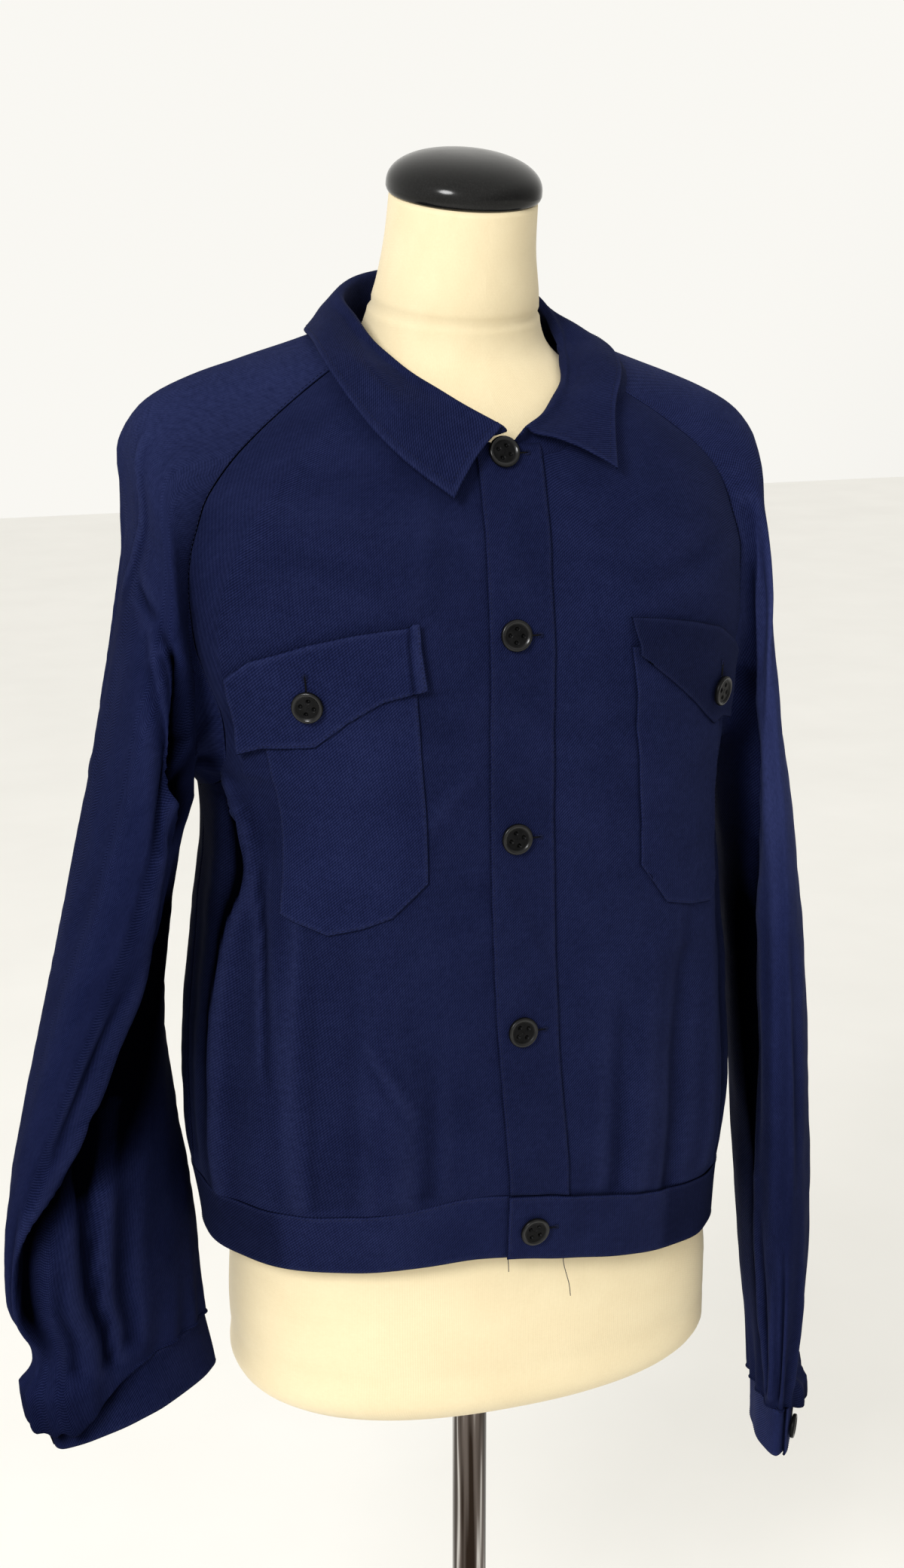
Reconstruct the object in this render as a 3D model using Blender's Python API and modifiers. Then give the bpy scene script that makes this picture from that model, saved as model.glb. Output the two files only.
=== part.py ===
"""Work jacket on a dress form: raglan sleeves, a fall collar, two flap pockets, a waistband.

Metres, +Z up.  The floor is z = 0 and the pole stands on the z axis.  The front faces -Y,
so the wearer's right is -X.  Run with: blender --background --python part.py
"""
import bpy
import math
import numpy as np
from mathutils import Matrix, Vector
from mathutils.bvhtree import BVHTree

NAME = "work_jacket_on_form"

# ---- driving dimensions -------------------------------------------------------------------
WALL = 0.0016            # one layer of twill with its turnings
DOUBLE_WALL = 0.0022     # collar, waistband and cuffs are two layers
SEAM_GAP = 0.0003        # between pieces that are sewn to each other
PATCH_LIFT = 0.0008      # between a patch and what it lies on
FLAP_LIFT = 0.0005       # more under a flap, which has a pocket's edge below it
CUFF_HEIGHT = 0.040
BUTTON_RADIUS = 0.010
BUTTON_THICKNESS = 0.0034
CUFF_BUTTON_RADIUS = 0.009
FORM_BOTTOM = 0.633
FORM_CLEARANCE = 0.0007  # between the form's shoulders and the cloth that hangs on them
POLE_RADIUS = 0.0125
BASE_RADIUS = 0.170
BASE_THICKNESS = 0.012
CAP_RADIUS = 0.050
CAP_HEIGHT = 0.022

RAGLAN_STEPS = 10        # cells along each raglan seam
NECK_STEPS = 3           # cells along a sleeve's short neck edge
SIDE_STEPS = 9           # cells along a side seam

# ---- the jacket's body as rings; the sides above the underarm lie inside the sleeves --------
# Columns: height, centre x, centre y, half width, front, back, squareness.
TORSO = np.array([
    (0.700, -0.006, 0.004, 0.182, 0.126, 0.110, 2.30),
    (0.760, -0.006, 0.004, 0.185, 0.129, 0.112, 2.30),
    (0.820, -0.007, 0.004, 0.193, 0.136, 0.118, 2.30),
    (0.900, -0.008, 0.004, 0.192, 0.136, 0.118, 2.30),
    (0.980, -0.007, 0.004, 0.184, 0.135, 0.119, 2.30),
    (1.060, -0.007, 0.004, 0.177, 0.134, 0.120, 2.30),
    (1.120, -0.011, 0.005, 0.187, 0.133, 0.120, 2.35),
    (1.180, -0.014, 0.006, 0.199, 0.130, 0.116, 2.40),
    (1.240, -0.014, 0.008, 0.194, 0.120, 0.108, 2.40),
    (1.280, -0.013, 0.010, 0.178, 0.109, 0.098, 2.30),
    (1.310, -0.012, 0.012, 0.148, 0.098, 0.088, 2.20),
    (1.335, -0.011, 0.014, 0.115, 0.088, 0.078, 2.10),
    (1.352, -0.009, 0.015, 0.090, 0.080, 0.070, 2.00),
    (1.370, -0.008, 0.016, 0.078, 0.074, 0.064, 2.00),
])

# Large soft folds of the body: angle and height where each starts and ends, how far it
# stands out (+) or in (-), and half its width in degrees.
# Columns: top angle, low angle, top, low, depth, half width.
BODY_FOLDS = (
    (-66.0, -73.0, 1.09, 0.80, -0.007, 6.0),
    (-78.0, -84.0, 1.07, 0.80, 0.004, 6.0),
    (-46.0, -50.0, 0.98, 0.80, -0.003, 7.0),
    (70.0, 66.0, 1.06, 0.80, -0.005, 6.0),
    (48.0, 44.0, 0.96, 0.80, -0.003, 7.0),
    (-150.0, -152.0, 1.16, 0.80, -0.005, 9.0),
    (178.0, 180.0, 1.10, 0.80, -0.004, 10.0),
    (148.0, 150.0, 1.16, 0.80, -0.005, 9.0),
)

# Edge of the body at the waistband: angle, top and bottom of the band.
# Columns: angle, band top, band bottom.
HEM = np.array([
    (-180, 0.785, 0.740), (-90, 0.799, 0.754), (-45, 0.803, 0.760), (-12, 0.814, 0.766),
    (12, 0.806, 0.758), (45, 0.789, 0.742), (75, 0.777, 0.730), (90, 0.775, 0.728),
    (135, 0.778, 0.732), (180, 0.785, 0.740),
])

# Neck seam: angle, height.
NECK = np.array([
    (-180, 1.366), (-128, 1.360), (-90, 1.355), (-60, 1.346), (-40, 1.324), (-20, 1.303),
    (-8, 1.296), (8, 1.294), (20, 1.296), (50, 1.325), (90, 1.350), (128, 1.357), (180, 1.366),
])

# Raglan seams, angle and height on the body from the underarm up to the neck seam.
RAGLAN = {
    ("right", "front"): ((-92, 1.068), (-80, 1.078), (-73, 1.095), (-70.5, 1.13), (-73, 1.18),
                         (-74, 1.22), (-73, 1.262), (-70.5, 1.295), (-66, 1.324), (-60, 1.346)),
    ("right", "back"): ((-92, 1.068), (-104, 1.078), (-111, 1.10), (-114, 1.14), (-113, 1.19),
                        (-112, 1.23), (-113, 1.27), (-116, 1.305), (-121, 1.336), (-128, 1.360)),
    ("left", "front"): ((92, 1.060), (84, 1.068), (78.5, 1.085), (76.5, 1.12), (77, 1.17),
                        (76, 1.21), (72, 1.255), (66, 1.290), (58, 1.311), (50, 1.325)),
    ("left", "back"): ((92, 1.060), (104, 1.070), (111, 1.09), (114, 1.13), (113, 1.18),
                       (112, 1.22), (113, 1.26), (116, 1.298), (121, 1.332), (128, 1.357)),
}
SIDE_ANGLE = {"right": -92.0, "left": 92.0}

# The line of the front buttons: height, x.
BUTTON_LINE = np.array([
    (0.74, -0.002), (0.80, -0.004), (0.93, -0.014), (1.05, -0.018), (1.18, -0.017),
    (1.30, -0.015),
])
BUTTON_HEIGHTS = (1.289, 1.181, 1.054, 0.926, 0.785)
PLACKET_OUTER = 0.0165   # from the button line to the placket's free edge
PLACKET_INNER = 0.0260   # from the button line to its stitched edge

# Sleeves, one row for each ring from the shoulder down: the outer and inner points of the
# flattened tube, the middle's y, half its depth, the turn of its front fold towards the
# wearer's right, how sharp its two folds are (2 is an ellipse) and how far the front hangs
# below the back.
# Columns: outer x, outer z, inner x, inner z, centre y, half depth, turn, roundness, front
# drop.
SLEEVES = {
    "right": np.array([
        (-0.216, 1.316, -0.197, 1.080, 0.004, 0.060, 0, 2.3, 0.000),
        (-0.224, 1.240, -0.200, 1.060, 0.002, 0.078, 0, 2.1, 0.000),
        (-0.242, 1.155, -0.204, 1.040, 0.000, 0.086, 4, 1.9, 0.000),
        (-0.269, 1.040, -0.210, 0.985, 0.000, 0.088, 10, 1.8, 0.000),
        (-0.294, 0.930, -0.220, 0.905, 0.000, 0.092, 24, 1.7, 0.000),
        (-0.304, 0.830, -0.226, 0.825, 0.000, 0.092, 42, 1.7, 0.004),
        (-0.300, 0.750, -0.226, 0.752, 0.000, 0.084, 56, 1.7, 0.007),
        (-0.286, 0.703, -0.224, 0.710, 0.000, 0.068, 64, 1.8, 0.009),
        (-0.280, 0.670, -0.228, 0.680, 0.000, 0.067, 68, 1.8, 0.010),
    ]),
    "left": np.array([
        (0.190, 1.300, 0.183, 1.074, 0.006, 0.055, 0, 2.3, 0.000),
        (0.198, 1.225, 0.183, 1.052, 0.006, 0.066, 0, 2.1, 0.000),
        (0.213, 1.140, 0.186, 1.032, 0.004, 0.076, 6, 1.9, 0.000),
        (0.234, 1.030, 0.192, 0.980, 0.000, 0.087, 12, 1.8, 0.000),
        (0.250, 0.920, 0.198, 0.900, -0.004, 0.090, 16, 1.8, 0.000),
        (0.257, 0.800, 0.204, 0.790, -0.010, 0.088, 18, 1.8, 0.000),
        (0.260, 0.690, 0.210, 0.685, -0.016, 0.080, 20, 1.8, 0.000),
        (0.252, 0.615, 0.216, 0.615, -0.022, 0.064, 20, 1.8, 0.000),
        (0.247, 0.578, 0.220, 0.578, -0.024, 0.052, 20, 1.8, 0.000),
    ]),
}

# Columns of the two fronts, in degrees, from the buttoning edge to the pocket's outer side;
# the last OUTER_CELLS cells fill the space up to the side seam or the raglan seam.
FRONT_COLUMNS = {
    "right": (1.0, -9.5, -18.0, -27.2, -35.5, -42.5, -49.5, -60.5, -66.0),
    "left": (4.0, 9.7, 21.0, 31.5, 40.0, 48.5, 56.5, 61.5, 66.0),
}
OUTER_CELLS = 3
BACK_CELLS = 14
NECK_ROWS = 6            # rows below the neck seam over which the columns draw together

SHORT_PATCH_ROWS = 5
ROW_MARGIN = 0.004       # from a patch's edge to the nearest row of its panel
# Chest pockets and flaps: first column, then a row for each column from the inner edge out.
POCKET_FIRST_COLUMN = 3
# Columns: top, bottom.
POCKETS = {
    "right": ((1.171, 1.028), (1.169, 1.0055), (1.167, 0.998), (1.165, 0.993), (1.162, 1.004)),
    "left": ((1.168, 1.025), (1.166, 0.995), (1.163, 0.988), (1.160, 0.984), (1.157, 1.000)),
}
FLAPS = {
    "right": ((1.190, 1.151), (1.188, 1.144), (1.185, 1.131), (1.180, 1.115), (1.168, 1.112),
              (1.154, 1.106)),
    "left": ((1.187, 1.163), (1.184, 1.144), (1.179, 1.124), (1.172, 1.106), (1.162, 1.108),
             (1.150, 1.104)),
}
FLAP_BUTTON = {"right": (3, 1.142), "left": (3, 1.129)}      # column within the flap, height

# Collar, one row for each place along the neck seam: the seam's angle, the top of the fold
# and the fall's outer edge.
# Columns: neck angle, fold x, fold y, fold z, edge x, edge y, edge z.
COLLAR = np.array([
    (-7, -0.017, -0.102, 1.306, -0.053, -0.116, 1.265),
    (-22, -0.041, -0.080, 1.321, -0.080, -0.103, 1.287),
    (-42, -0.058, -0.054, 1.334, -0.099, -0.082, 1.311),
    (-62, -0.072, -0.026, 1.350, -0.113, -0.048, 1.342),
    (-88, -0.080, 0.004, 1.369, -0.110, -0.006, 1.355),
    (-115, -0.078, 0.038, 1.382, -0.100, 0.044, 1.355),
    (-146, -0.050, 0.072, 1.391, -0.064, 0.094, 1.347),
    (-180, -0.008, 0.084, 1.395, -0.008, 0.108, 1.338),
    (-214, 0.036, 0.074, 1.389, 0.049, 0.093, 1.342),
    (-245, 0.061, 0.042, 1.376, 0.084, 0.049, 1.350),
    (-272, 0.064, 0.009, 1.356, 0.094, -0.004, 1.347),
    (-298, 0.056, -0.022, 1.341, 0.083, -0.054, 1.334),
    (-318, 0.045, -0.049, 1.328, 0.067, -0.080, 1.317),
    (-340, 0.024, -0.078, 1.314, 0.060, -0.098, 1.296),
    (-357, -0.001, -0.101, 1.304, 0.057, -0.110, 1.278),
])
COLLAR_CELLS = 30
FOLD_ROLL = 0.0045       # half the width of the roll along the fold

# Dress form: height, centre x, centre y, half width, front, back, squareness, forward tilt.
# Columns: height, centre x, centre y, half width, front, back, squareness, tilt.
FORM = np.array([
    (FORM_BOTTOM, 0.001, 0.006, 0.158, 0.099, 0.090, 2.3, 0),
    (0.641, 0.001, 0.005, 0.168, 0.109, 0.098, 2.3, 0),
    (0.675, 0.001, 0.004, 0.174, 0.115, 0.103, 2.3, 0),
    (0.740, 0.000, 0.004, 0.172, 0.114, 0.102, 2.3, 0),
    (0.800, -0.001, 0.004, 0.170, 0.113, 0.102, 2.3, 0),
    (0.880, -0.004, 0.004, 0.156, 0.107, 0.099, 2.3, 0),
    (0.960, -0.004, 0.004, 0.137, 0.098, 0.092, 2.2, 0),
    (1.040, -0.004, 0.004, 0.140, 0.106, 0.095, 2.2, 0),
    (1.120, -0.004, 0.005, 0.150, 0.118, 0.102, 2.2, 0),
    (1.200, -0.004, 0.006, 0.156, 0.110, 0.103, 2.2, 0),
    (1.260, -0.004, 0.009, 0.156, 0.093, 0.098, 2.2, 0),
    (1.290, -0.004, 0.012, 0.138, 0.084, 0.092, 2.2, 0),
    (1.312, -0.005, 0.014, 0.112, 0.072, 0.082, 2.1, 0),
    (1.330, -0.006, 0.018, 0.084, 0.062, 0.072, 2.0, 2),
    (1.346, -0.006, 0.022, 0.066, 0.056, 0.060, 2.0, 6),
    (1.365, -0.005, 0.022, 0.057, 0.053, 0.055, 2.0, 10),
    (1.385, -0.004, 0.017, 0.053, 0.052, 0.052, 2.0, 12),
    (1.410, -0.004, 0.012, 0.049, 0.050, 0.050, 2.0, 13),
    (1.441, -0.004, 0.005, 0.0475, 0.0475, 0.0475, 2.0, 13),
])
FORM_HEIGHTS = np.concatenate([FORM[:11, 0], np.arange(1.278, 1.430, 0.012), FORM[-1:, 0]])
FORM_SIDES = 32

# name: colour, roughness, metallic
MATERIALS = {
    "navy_twill": ((0.018, 0.030, 0.120), 0.88, 0.0),
    "button_black": ((0.012, 0.012, 0.013), 0.35, 0.0),
    "form_jersey": ((0.78, 0.66, 0.44), 0.85, 0.0),
    "cap_black": ((0.010, 0.010, 0.011), 0.22, 0.0),
    "pole_chrome": ((0.60, 0.60, 0.61), 0.12, 1.0),
    "base_metal": ((0.05, 0.05, 0.052), 0.45, 0.6),
}


# ---- curves and surfaces --------------------------------------------------------------------
def smooth(knots, values, at):
    """Cubic Hermite curve through the rows of a table."""
    knots, values = np.asarray(knots, float), np.asarray(values, float)
    slope = np.gradient(values, knots, axis=0)
    at = np.clip(np.asarray(at, float), knots[0], knots[-1])
    i = np.clip(np.searchsorted(knots, at, side="right") - 1, 0, len(knots) - 2)
    span = knots[i + 1] - knots[i]
    t = (at - knots[i]) / span
    if values.ndim > 1:
        span, t = span[..., None], t[..., None]
    start = (1 + 2 * t) * (1 - t) ** 2 * values[i] + t * (1 - t) ** 2 * span * slope[i]
    end = t * t * (3 - 2 * t) * values[i + 1] + t * t * (t - 1) * span * slope[i + 1]
    return start + end


def wrap(angle):
    """Angle between -180 and 180 degrees."""
    return (np.asarray(angle, float) + 180.0) % 360.0 - 180.0


def ring_radius(angle, half_width, front, back, squareness):
    """Distance from a ring's centre to its edge, in the direction of angle."""
    s, c = np.sin(np.radians(angle)), np.cos(np.radians(angle))
    depth = np.where(c >= 0, front, back)
    return (np.abs(s / half_width) ** squareness
            + np.abs(c / depth) ** squareness) ** (-1.0 / squareness)


def body_folds(angle, height):
    """How far the body's cloth stands out of its plain ring, from the table of folds."""
    out = 0.0
    for top_angle, low_angle, top, low, depth, half_width in BODY_FOLDS:
        t = np.clip((top - height) / (top - low), 0, 1)
        away = wrap(angle - (top_angle + (low_angle - top_angle) * t)) / half_width
        out = out + depth * np.exp(-away ** 2) * np.sin(np.pi * np.sqrt(0.9 * t)) ** 0.8
    return out


def torso(angle, height, out=0.0):
    """Point of the body's outer surface; 0 degrees is the centre front, 90 the wearer's left."""
    angle, height = np.broadcast_arrays(np.asarray(angle, float), np.asarray(height, float))
    row = smooth(TORSO[:, 0], TORSO[:, 1:], height)
    centre_x, centre_y = row[..., 0], row[..., 1]
    radius = ring_radius(angle, *(row[..., i] for i in range(2, 6)))
    radius = radius + body_folds(angle, height) + out
    a = np.radians(angle)
    return np.stack([centre_x + radius * np.sin(a), centre_y - radius * np.cos(a), height], -1)


def angle_at_x(x, height):
    """Angle of the point near the centre front that has this x."""
    row = smooth(TORSO[:, 0], TORSO[:, 1:], height)
    return np.degrees(np.arctan2(x - row[..., 0], row[..., 3]))


def hem_height(angle, column):
    """Height of the waistband's top (1) or bottom (2) edge."""
    return smooth(HEM[:, 0], HEM[:, column], wrap(angle))


def neck_height(angle):
    return smooth(NECK[:, 0], NECK[:, 1], wrap(angle))


def raglan(side, face, share):
    """Angle and height at a share of a raglan seam's length, from the underarm."""
    points = np.array(RAGLAN[side, face], float)
    metres = points * (math.radians(1) * 0.14, 1.0)
    steps = np.linalg.norm(np.diff(metres, axis=0), axis=1)
    knots = np.concatenate([[0.0], np.cumsum(steps)]) / steps.sum()
    return smooth(knots, points, share)


def pull_in(grid, amount, first_row=False, last_row=False, first_column=False,
            last_column=False):
    """Shorten a grid at the given edges, to leave the gap at its seams."""
    for wanted, edge, inner in ((first_row, np.s_[0], np.s_[1]),
                                (last_row, np.s_[-1], np.s_[-2]),
                                (first_column, np.s_[:, 0], np.s_[:, 1]),
                                (last_column, np.s_[:, -1], np.s_[:, -2])):
        if wanted:
            along = grid[inner] - grid[edge]
            length = np.linalg.norm(along, axis=-1, keepdims=True)
            grid[edge] = grid[edge] + along / length * amount
    return grid


def grid_normals(grid, closed=False):
    """Outward unit normals at a grid's points (rows go up, columns go round)."""
    if closed:
        across = np.roll(grid, -1, 1) - np.roll(grid, 1, 1)
    else:
        across = np.gradient(grid, axis=1)
    normal = np.cross(across, np.gradient(grid, axis=0))
    return normal / np.linalg.norm(normal, axis=-1, keepdims=True)


# ---- the body panels --------------------------------------------------------------------------
def side_path(side, face):
    """Angle and height of a panel's outer edge: the side seam, then the raglan seam."""
    angle = SIDE_ANGLE[side]
    low = float(hem_height(angle, 1))
    seam = [(angle, low + (RAGLAN[side, face][0][1] - low) * i / SIDE_STEPS)
            for i in range(SIDE_STEPS)]
    return np.array(seam + list(raglan(side, face, np.linspace(0, 1, RAGLAN_STEPS + 1))))


def blend_heights(low, high, angles, share):
    """Heights between two edges, bent at the bottom to the hem and at the top to the neck."""
    rows = len(low)
    v = np.linspace(0, 1, rows)[:, None]
    heights = low[:, None] * (1 - share) + high[:, None] * share
    hem = hem_height(angles[0], 1) - heights[0]
    neck = neck_height(angles[-1]) - heights[-1]
    return heights + hem * (1 - v) ** 3 + neck * v ** 4


def front_grid(side):
    """Points of one front, rows from the waistband up, columns in order of angle."""
    fixed = np.array(FRONT_COLUMNS[side])
    path = side_path(side, "front")
    rows, cells = len(path), len(fixed) - 1 + OUTER_CELLS
    share = np.arange(cells + 1) / cells
    draw = np.clip((np.arange(rows) - (rows - 1 - NECK_ROWS)) / NECK_ROWS, 0, 1)
    draw = draw * draw * (3 - 2 * draw)
    angles = np.empty((rows, cells + 1))
    for k, (outer, _) in enumerate(path):
        free = fixed[-1] + (outer - fixed[-1]) * np.arange(1, OUTER_CELLS + 1) / OUTER_CELLS
        even = fixed[0] + (outer - fixed[0]) * share
        angles[k] = (1 - draw[k]) * np.concatenate([fixed, free]) + draw[k] * even
    rise = np.clip((path[:, 1] - path[0, 1]) / (path[-1, 1] - path[0, 1]), 0, 1)
    above = np.linspace(rise[SIDE_STEPS], 1, RAGLAN_STEPS + 1)
    rise = np.concatenate([rise[:SIDE_STEPS], above])
    low, high = hem_height(fixed[0], 1), neck_height(fixed[0])
    heights = blend_heights(low + (high - low) * rise, path[:, 1], angles, share)
    grid = torso(angles, heights)
    return grid if side == "left" else grid[:, ::-1]


def back_grid():
    """Points of the back, from the wearer's left side seam round to the right one."""
    left, right = side_path("left", "back"), side_path("right", "back")
    share = np.arange(BACK_CELLS + 1) / BACK_CELLS
    angles = left[:, :1] * (1 - share) + (right[:, :1] + 360.0) * share
    return torso(angles, blend_heights(left[:, 1], right[:, 1], angles, share))


def column_points(grid, column, heights, out):
    """Points at given heights on one column of a panel, moved out along its normals."""
    line, normal = grid[:, column], grid_normals(grid)[:, column]
    at = [np.interp(heights, line[:, 2], line[:, i]) for i in range(3)]
    lift = [np.interp(heights, line[:, 2], normal[:, i]) for i in range(3)]
    return np.stack(at, -1) + out * np.stack(lift, -1)


def patch_grid(side, edges, out):
    """A patch between a top and a bottom height on each column of a front.

    Between its edges its rows are the panel's own, so that it lies flat on it.
    """
    panel = front_grid(side)
    columns = [POCKET_FIRST_COLUMN + i for i in range(len(edges))]
    if side == "right":
        columns = [panel.shape[1] - 1 - c for c in columns]
    inside = [k for k in range(len(panel))
              if all(low + ROW_MARGIN < panel[k, c, 2] < high - ROW_MARGIN
                     for c, (high, low) in zip(columns, edges))]
    lines = []
    for c, (high, low) in zip(columns, edges):
        heights = np.array([low] + [panel[k, c, 2] for k in inside] + [high])
        if len(inside) < 2:
            heights = np.linspace(low, high, SHORT_PATCH_ROWS)
        lines.append(column_points(panel, c, heights, out))
    grid = np.stack(lines, 1)
    return grid if side == "left" else grid[:, ::-1]


# ---- sleeves ------------------------------------------------------------------------------------
def seam_loop(side):
    """The seam that a sleeve is set into: front raglan, neck edge, back raglan."""
    share = np.linspace(0, 1, RAGLAN_STEPS + 1)
    front, back = raglan(side, "front", share), raglan(side, "back", share)
    step = np.arange(1, NECK_STEPS)[:, None] / NECK_STEPS
    neck = front[-1] + (back[-1] - front[-1]) * step
    neck[:, 1] = neck_height(neck[:, 0])
    loop = np.concatenate([front, neck, back[::-1][:-1]])
    return torso(loop[:, 0], loop[:, 1])


def loop_shares():
    """Share of the way round a sleeve at each of its columns, 0 at the underarm."""
    front = np.linspace(0, 0.44, RAGLAN_STEPS + 1)
    neck = np.linspace(0.44, 0.56, NECK_STEPS + 1)[1:-1]
    return np.concatenate([front, neck, 1 - front[::-1][:-1]])


def sleeve_ring(row, shares):
    """One ring of a sleeve: share 0 is its inner side, 0.25 the front, 0.5 the outside."""
    outer_x, outer_z, inner_x, inner_z, centre_y, half_depth, turn, roundness, drop = row
    middle = np.array([(outer_x + inner_x) / 2, centre_y, (outer_z + inner_z) / 2])
    half = np.array([(outer_x - inner_x) / 2, 0, (outer_z - inner_z) / 2])
    a = 2 * np.pi * shares
    out, fore = -np.cos(a), np.sin(a)
    out = np.sign(out) * np.abs(out) ** (2 / roundness)
    fore = np.sign(fore) * np.abs(fore) ** (2 / roundness)
    points = out[:, None] * half + fore[:, None] * np.array([0, -half_depth, -drop])
    c, s = math.cos(math.radians(turn)), math.sin(math.radians(turn))
    turned = points @ np.array([[c, -s, 0], [s, c, 0], [0, 0, 1]])
    return middle + turned


def sleeve_grid(side, steps, shares=None, loop=None):
    """Points of a sleeve from its cuff end up to the raglan seam; steps run from the top."""
    shares = loop_shares() if shares is None else shares
    loop = seam_loop(side) if loop is None else loop
    stations = np.stack([loop] + [sleeve_ring(row, shares) for row in SLEEVES[side]])
    rows = smooth(np.arange(len(stations)), stations.reshape(len(stations), -1), steps)
    grid = rows.reshape(len(steps), len(shares), 3)[::-1]
    return grid if side == "left" else grid[:, ::-1]


SLEEVE_STEPS = np.concatenate([np.linspace(0, 1, 4)[:-1], np.arange(1, 9.01, 0.5)])


# ---- bands, collar and form ------------------------------------------------------------------
def edge_turns(start, turn, overlap, cells):
    """Share of the way round of each column of a band whose ends lap over each other."""
    return start + turn * np.linspace(0, 1 + overlap, cells + 1)


def lap_lift(cells, overlap, lift):
    """How far a band's first end is lifted so that it lies on its last end."""
    share = np.linspace(0, 1 + overlap, cells + 1)
    t = np.clip((share - overlap * 1.6) / (overlap * 3), 0, 1)
    return lift * (1 - t * t * (3 - 2 * t))


BAND_CELLS = 44
BAND_OVERLAP = 0.045
BAND_END_X = -0.021      # the waistband's free end, on top, seen from the front


def waistband_grid():
    """The waistband from its free end, round the wearer's left, back and right."""
    start = float(angle_at_x(BAND_END_X, 0.785))
    angles = edge_turns(start, 360.0, BAND_OVERLAP, BAND_CELLS)
    lift = 0.0006 + lap_lift(BAND_CELLS, BAND_OVERLAP, DOUBLE_WALL + PATCH_LIFT)
    rows = []
    for share in (0.0, 0.5, 1.0):
        low, high = hem_height(angles, 2), hem_height(angles, 1) - SEAM_GAP * 1.5
        rows.append(torso(angles, low + (high - low) * share, lift))
    return np.stack(rows)


CUFF_CELLS = 28
CUFF_OVERLAP = 0.07
CUFF_START = {"right": 0.30, "left": 0.30}   # share of the way round where the cuff's end laps
CUFF_TAPER = 0.96


def cuff_frame(side):
    """Middle and downward direction of a sleeve's last ring."""
    last = sleeve_ring(SLEEVES[side][-1], loop_shares())
    before = sleeve_ring(SLEEVES[side][-2], loop_shares())
    across = last[6] - last[-7]
    along = last[12] - last[0]
    down = np.cross(across, along)
    down = down / np.linalg.norm(down)
    if down @ (last.mean(0) - before.mean(0)) < 0:
        down = -down
    return last.mean(0), down


def cuff_grid(side):
    """The cuff from its free end round the sleeve's last ring."""
    shares = edge_turns(CUFF_START[side], 1.0, CUFF_OVERLAP, CUFF_CELLS)
    ring = sleeve_ring(SLEEVES[side][-1], shares)
    middle, down = cuff_frame(side)
    tangent = np.gradient(ring, axis=0)
    outward = np.cross(tangent, down)
    outward = outward / np.linalg.norm(outward, axis=1, keepdims=True)
    if ((ring - middle) * outward).sum() < 0:
        outward = -outward
    lift = lap_lift(CUFF_CELLS, CUFF_OVERLAP, DOUBLE_WALL + PATCH_LIFT)[:, None]
    rows = []
    for share in (1.0, 0.5, 0.0):
        taper = 1 - (1 - CUFF_TAPER) * share
        drop = SEAM_GAP * 3 + CUFF_HEIGHT * share
        rows.append(middle + (ring - middle) * taper + down * drop + outward * lift)
    grid = np.stack(rows)
    return grid if side == "left" else grid[:, ::-1]


PLACKET_ROWS = 18
PLACKET_CELLS = 4


def placket_grid(out=PATCH_LIFT + WALL):
    """The folded edge of the left front, over the ends of both fronts."""
    share = np.linspace(0, 1, PLACKET_ROWS + 1)[:, None]
    middle = float(angle_at_x(-0.012, 1.05))
    low, high = float(hem_height(middle, 1)) + SEAM_GAP, float(neck_height(middle)) - SEAM_GAP
    heights = low + (high - low) * share
    button_x = smooth(BUTTON_LINE[:, 0], BUTTON_LINE[:, 1], heights)
    across = np.linspace(-PLACKET_OUTER, PLACKET_INNER, PLACKET_CELLS + 1)[None, :]
    heights = np.repeat(heights, PLACKET_CELLS + 1, axis=1)
    angles = angle_at_x(button_x + across, heights)
    low_edge, high_edge = hem_height(angles, 1) + SEAM_GAP, neck_height(angles) - SEAM_GAP
    heights = low_edge + (high_edge - low_edge) * share
    return torso(angle_at_x(button_x + across, heights), heights, out)


STAND_LIFT = 0.0010      # the stand's visible face above the neck seam
FALL_LEAST_OUT = 0.0048  # the fall's outer face above the cloth below it
FALL_ROWS = (0.25, 0.50, 0.75)
STAND_OFF_PASSES = 4
STAND_OFF_ASIDE = 0.002
STAND_OFF_REACH = 0.040


def grid_faces(grid, closed=False):
    """Faces between the points of a grid, as rows of indices."""
    rows, columns = grid.shape[:2]
    faces = []
    for i in range(rows - 1):
        for j in range(columns if closed else columns - 1):
            k = (j + 1) % columns
            faces.append((i * columns + j, i * columns + k,
                          (i + 1) * columns + k, (i + 1) * columns + j))
    return faces


def surface_tree(grid, closed=False):
    """A grid's surface, for looking up the nearest point on it."""
    return BVHTree.FromPolygons([Vector(p) for p in grid.reshape(-1, 3)],
                                grid_faces(grid, closed))


def stand_off(points, trees, least):
    """Points moved out, where needed, to lie this far outside the surfaces."""
    moved = [Vector(p) for p in points]
    for _ in range(STAND_OFF_PASSES):
        for tree in trees:
            for i, point in enumerate(moved):
                near, normal, _, distance = tree.find_nearest(point)
                out = (point - near).dot(normal)
                aside = (point - near - normal * out).length
                if out < least and aside < STAND_OFF_ASIDE and distance < STAND_OFF_REACH:
                    moved[i] = point + normal * (least - out)
    return np.array([tuple(p) for p in moved])


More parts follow.
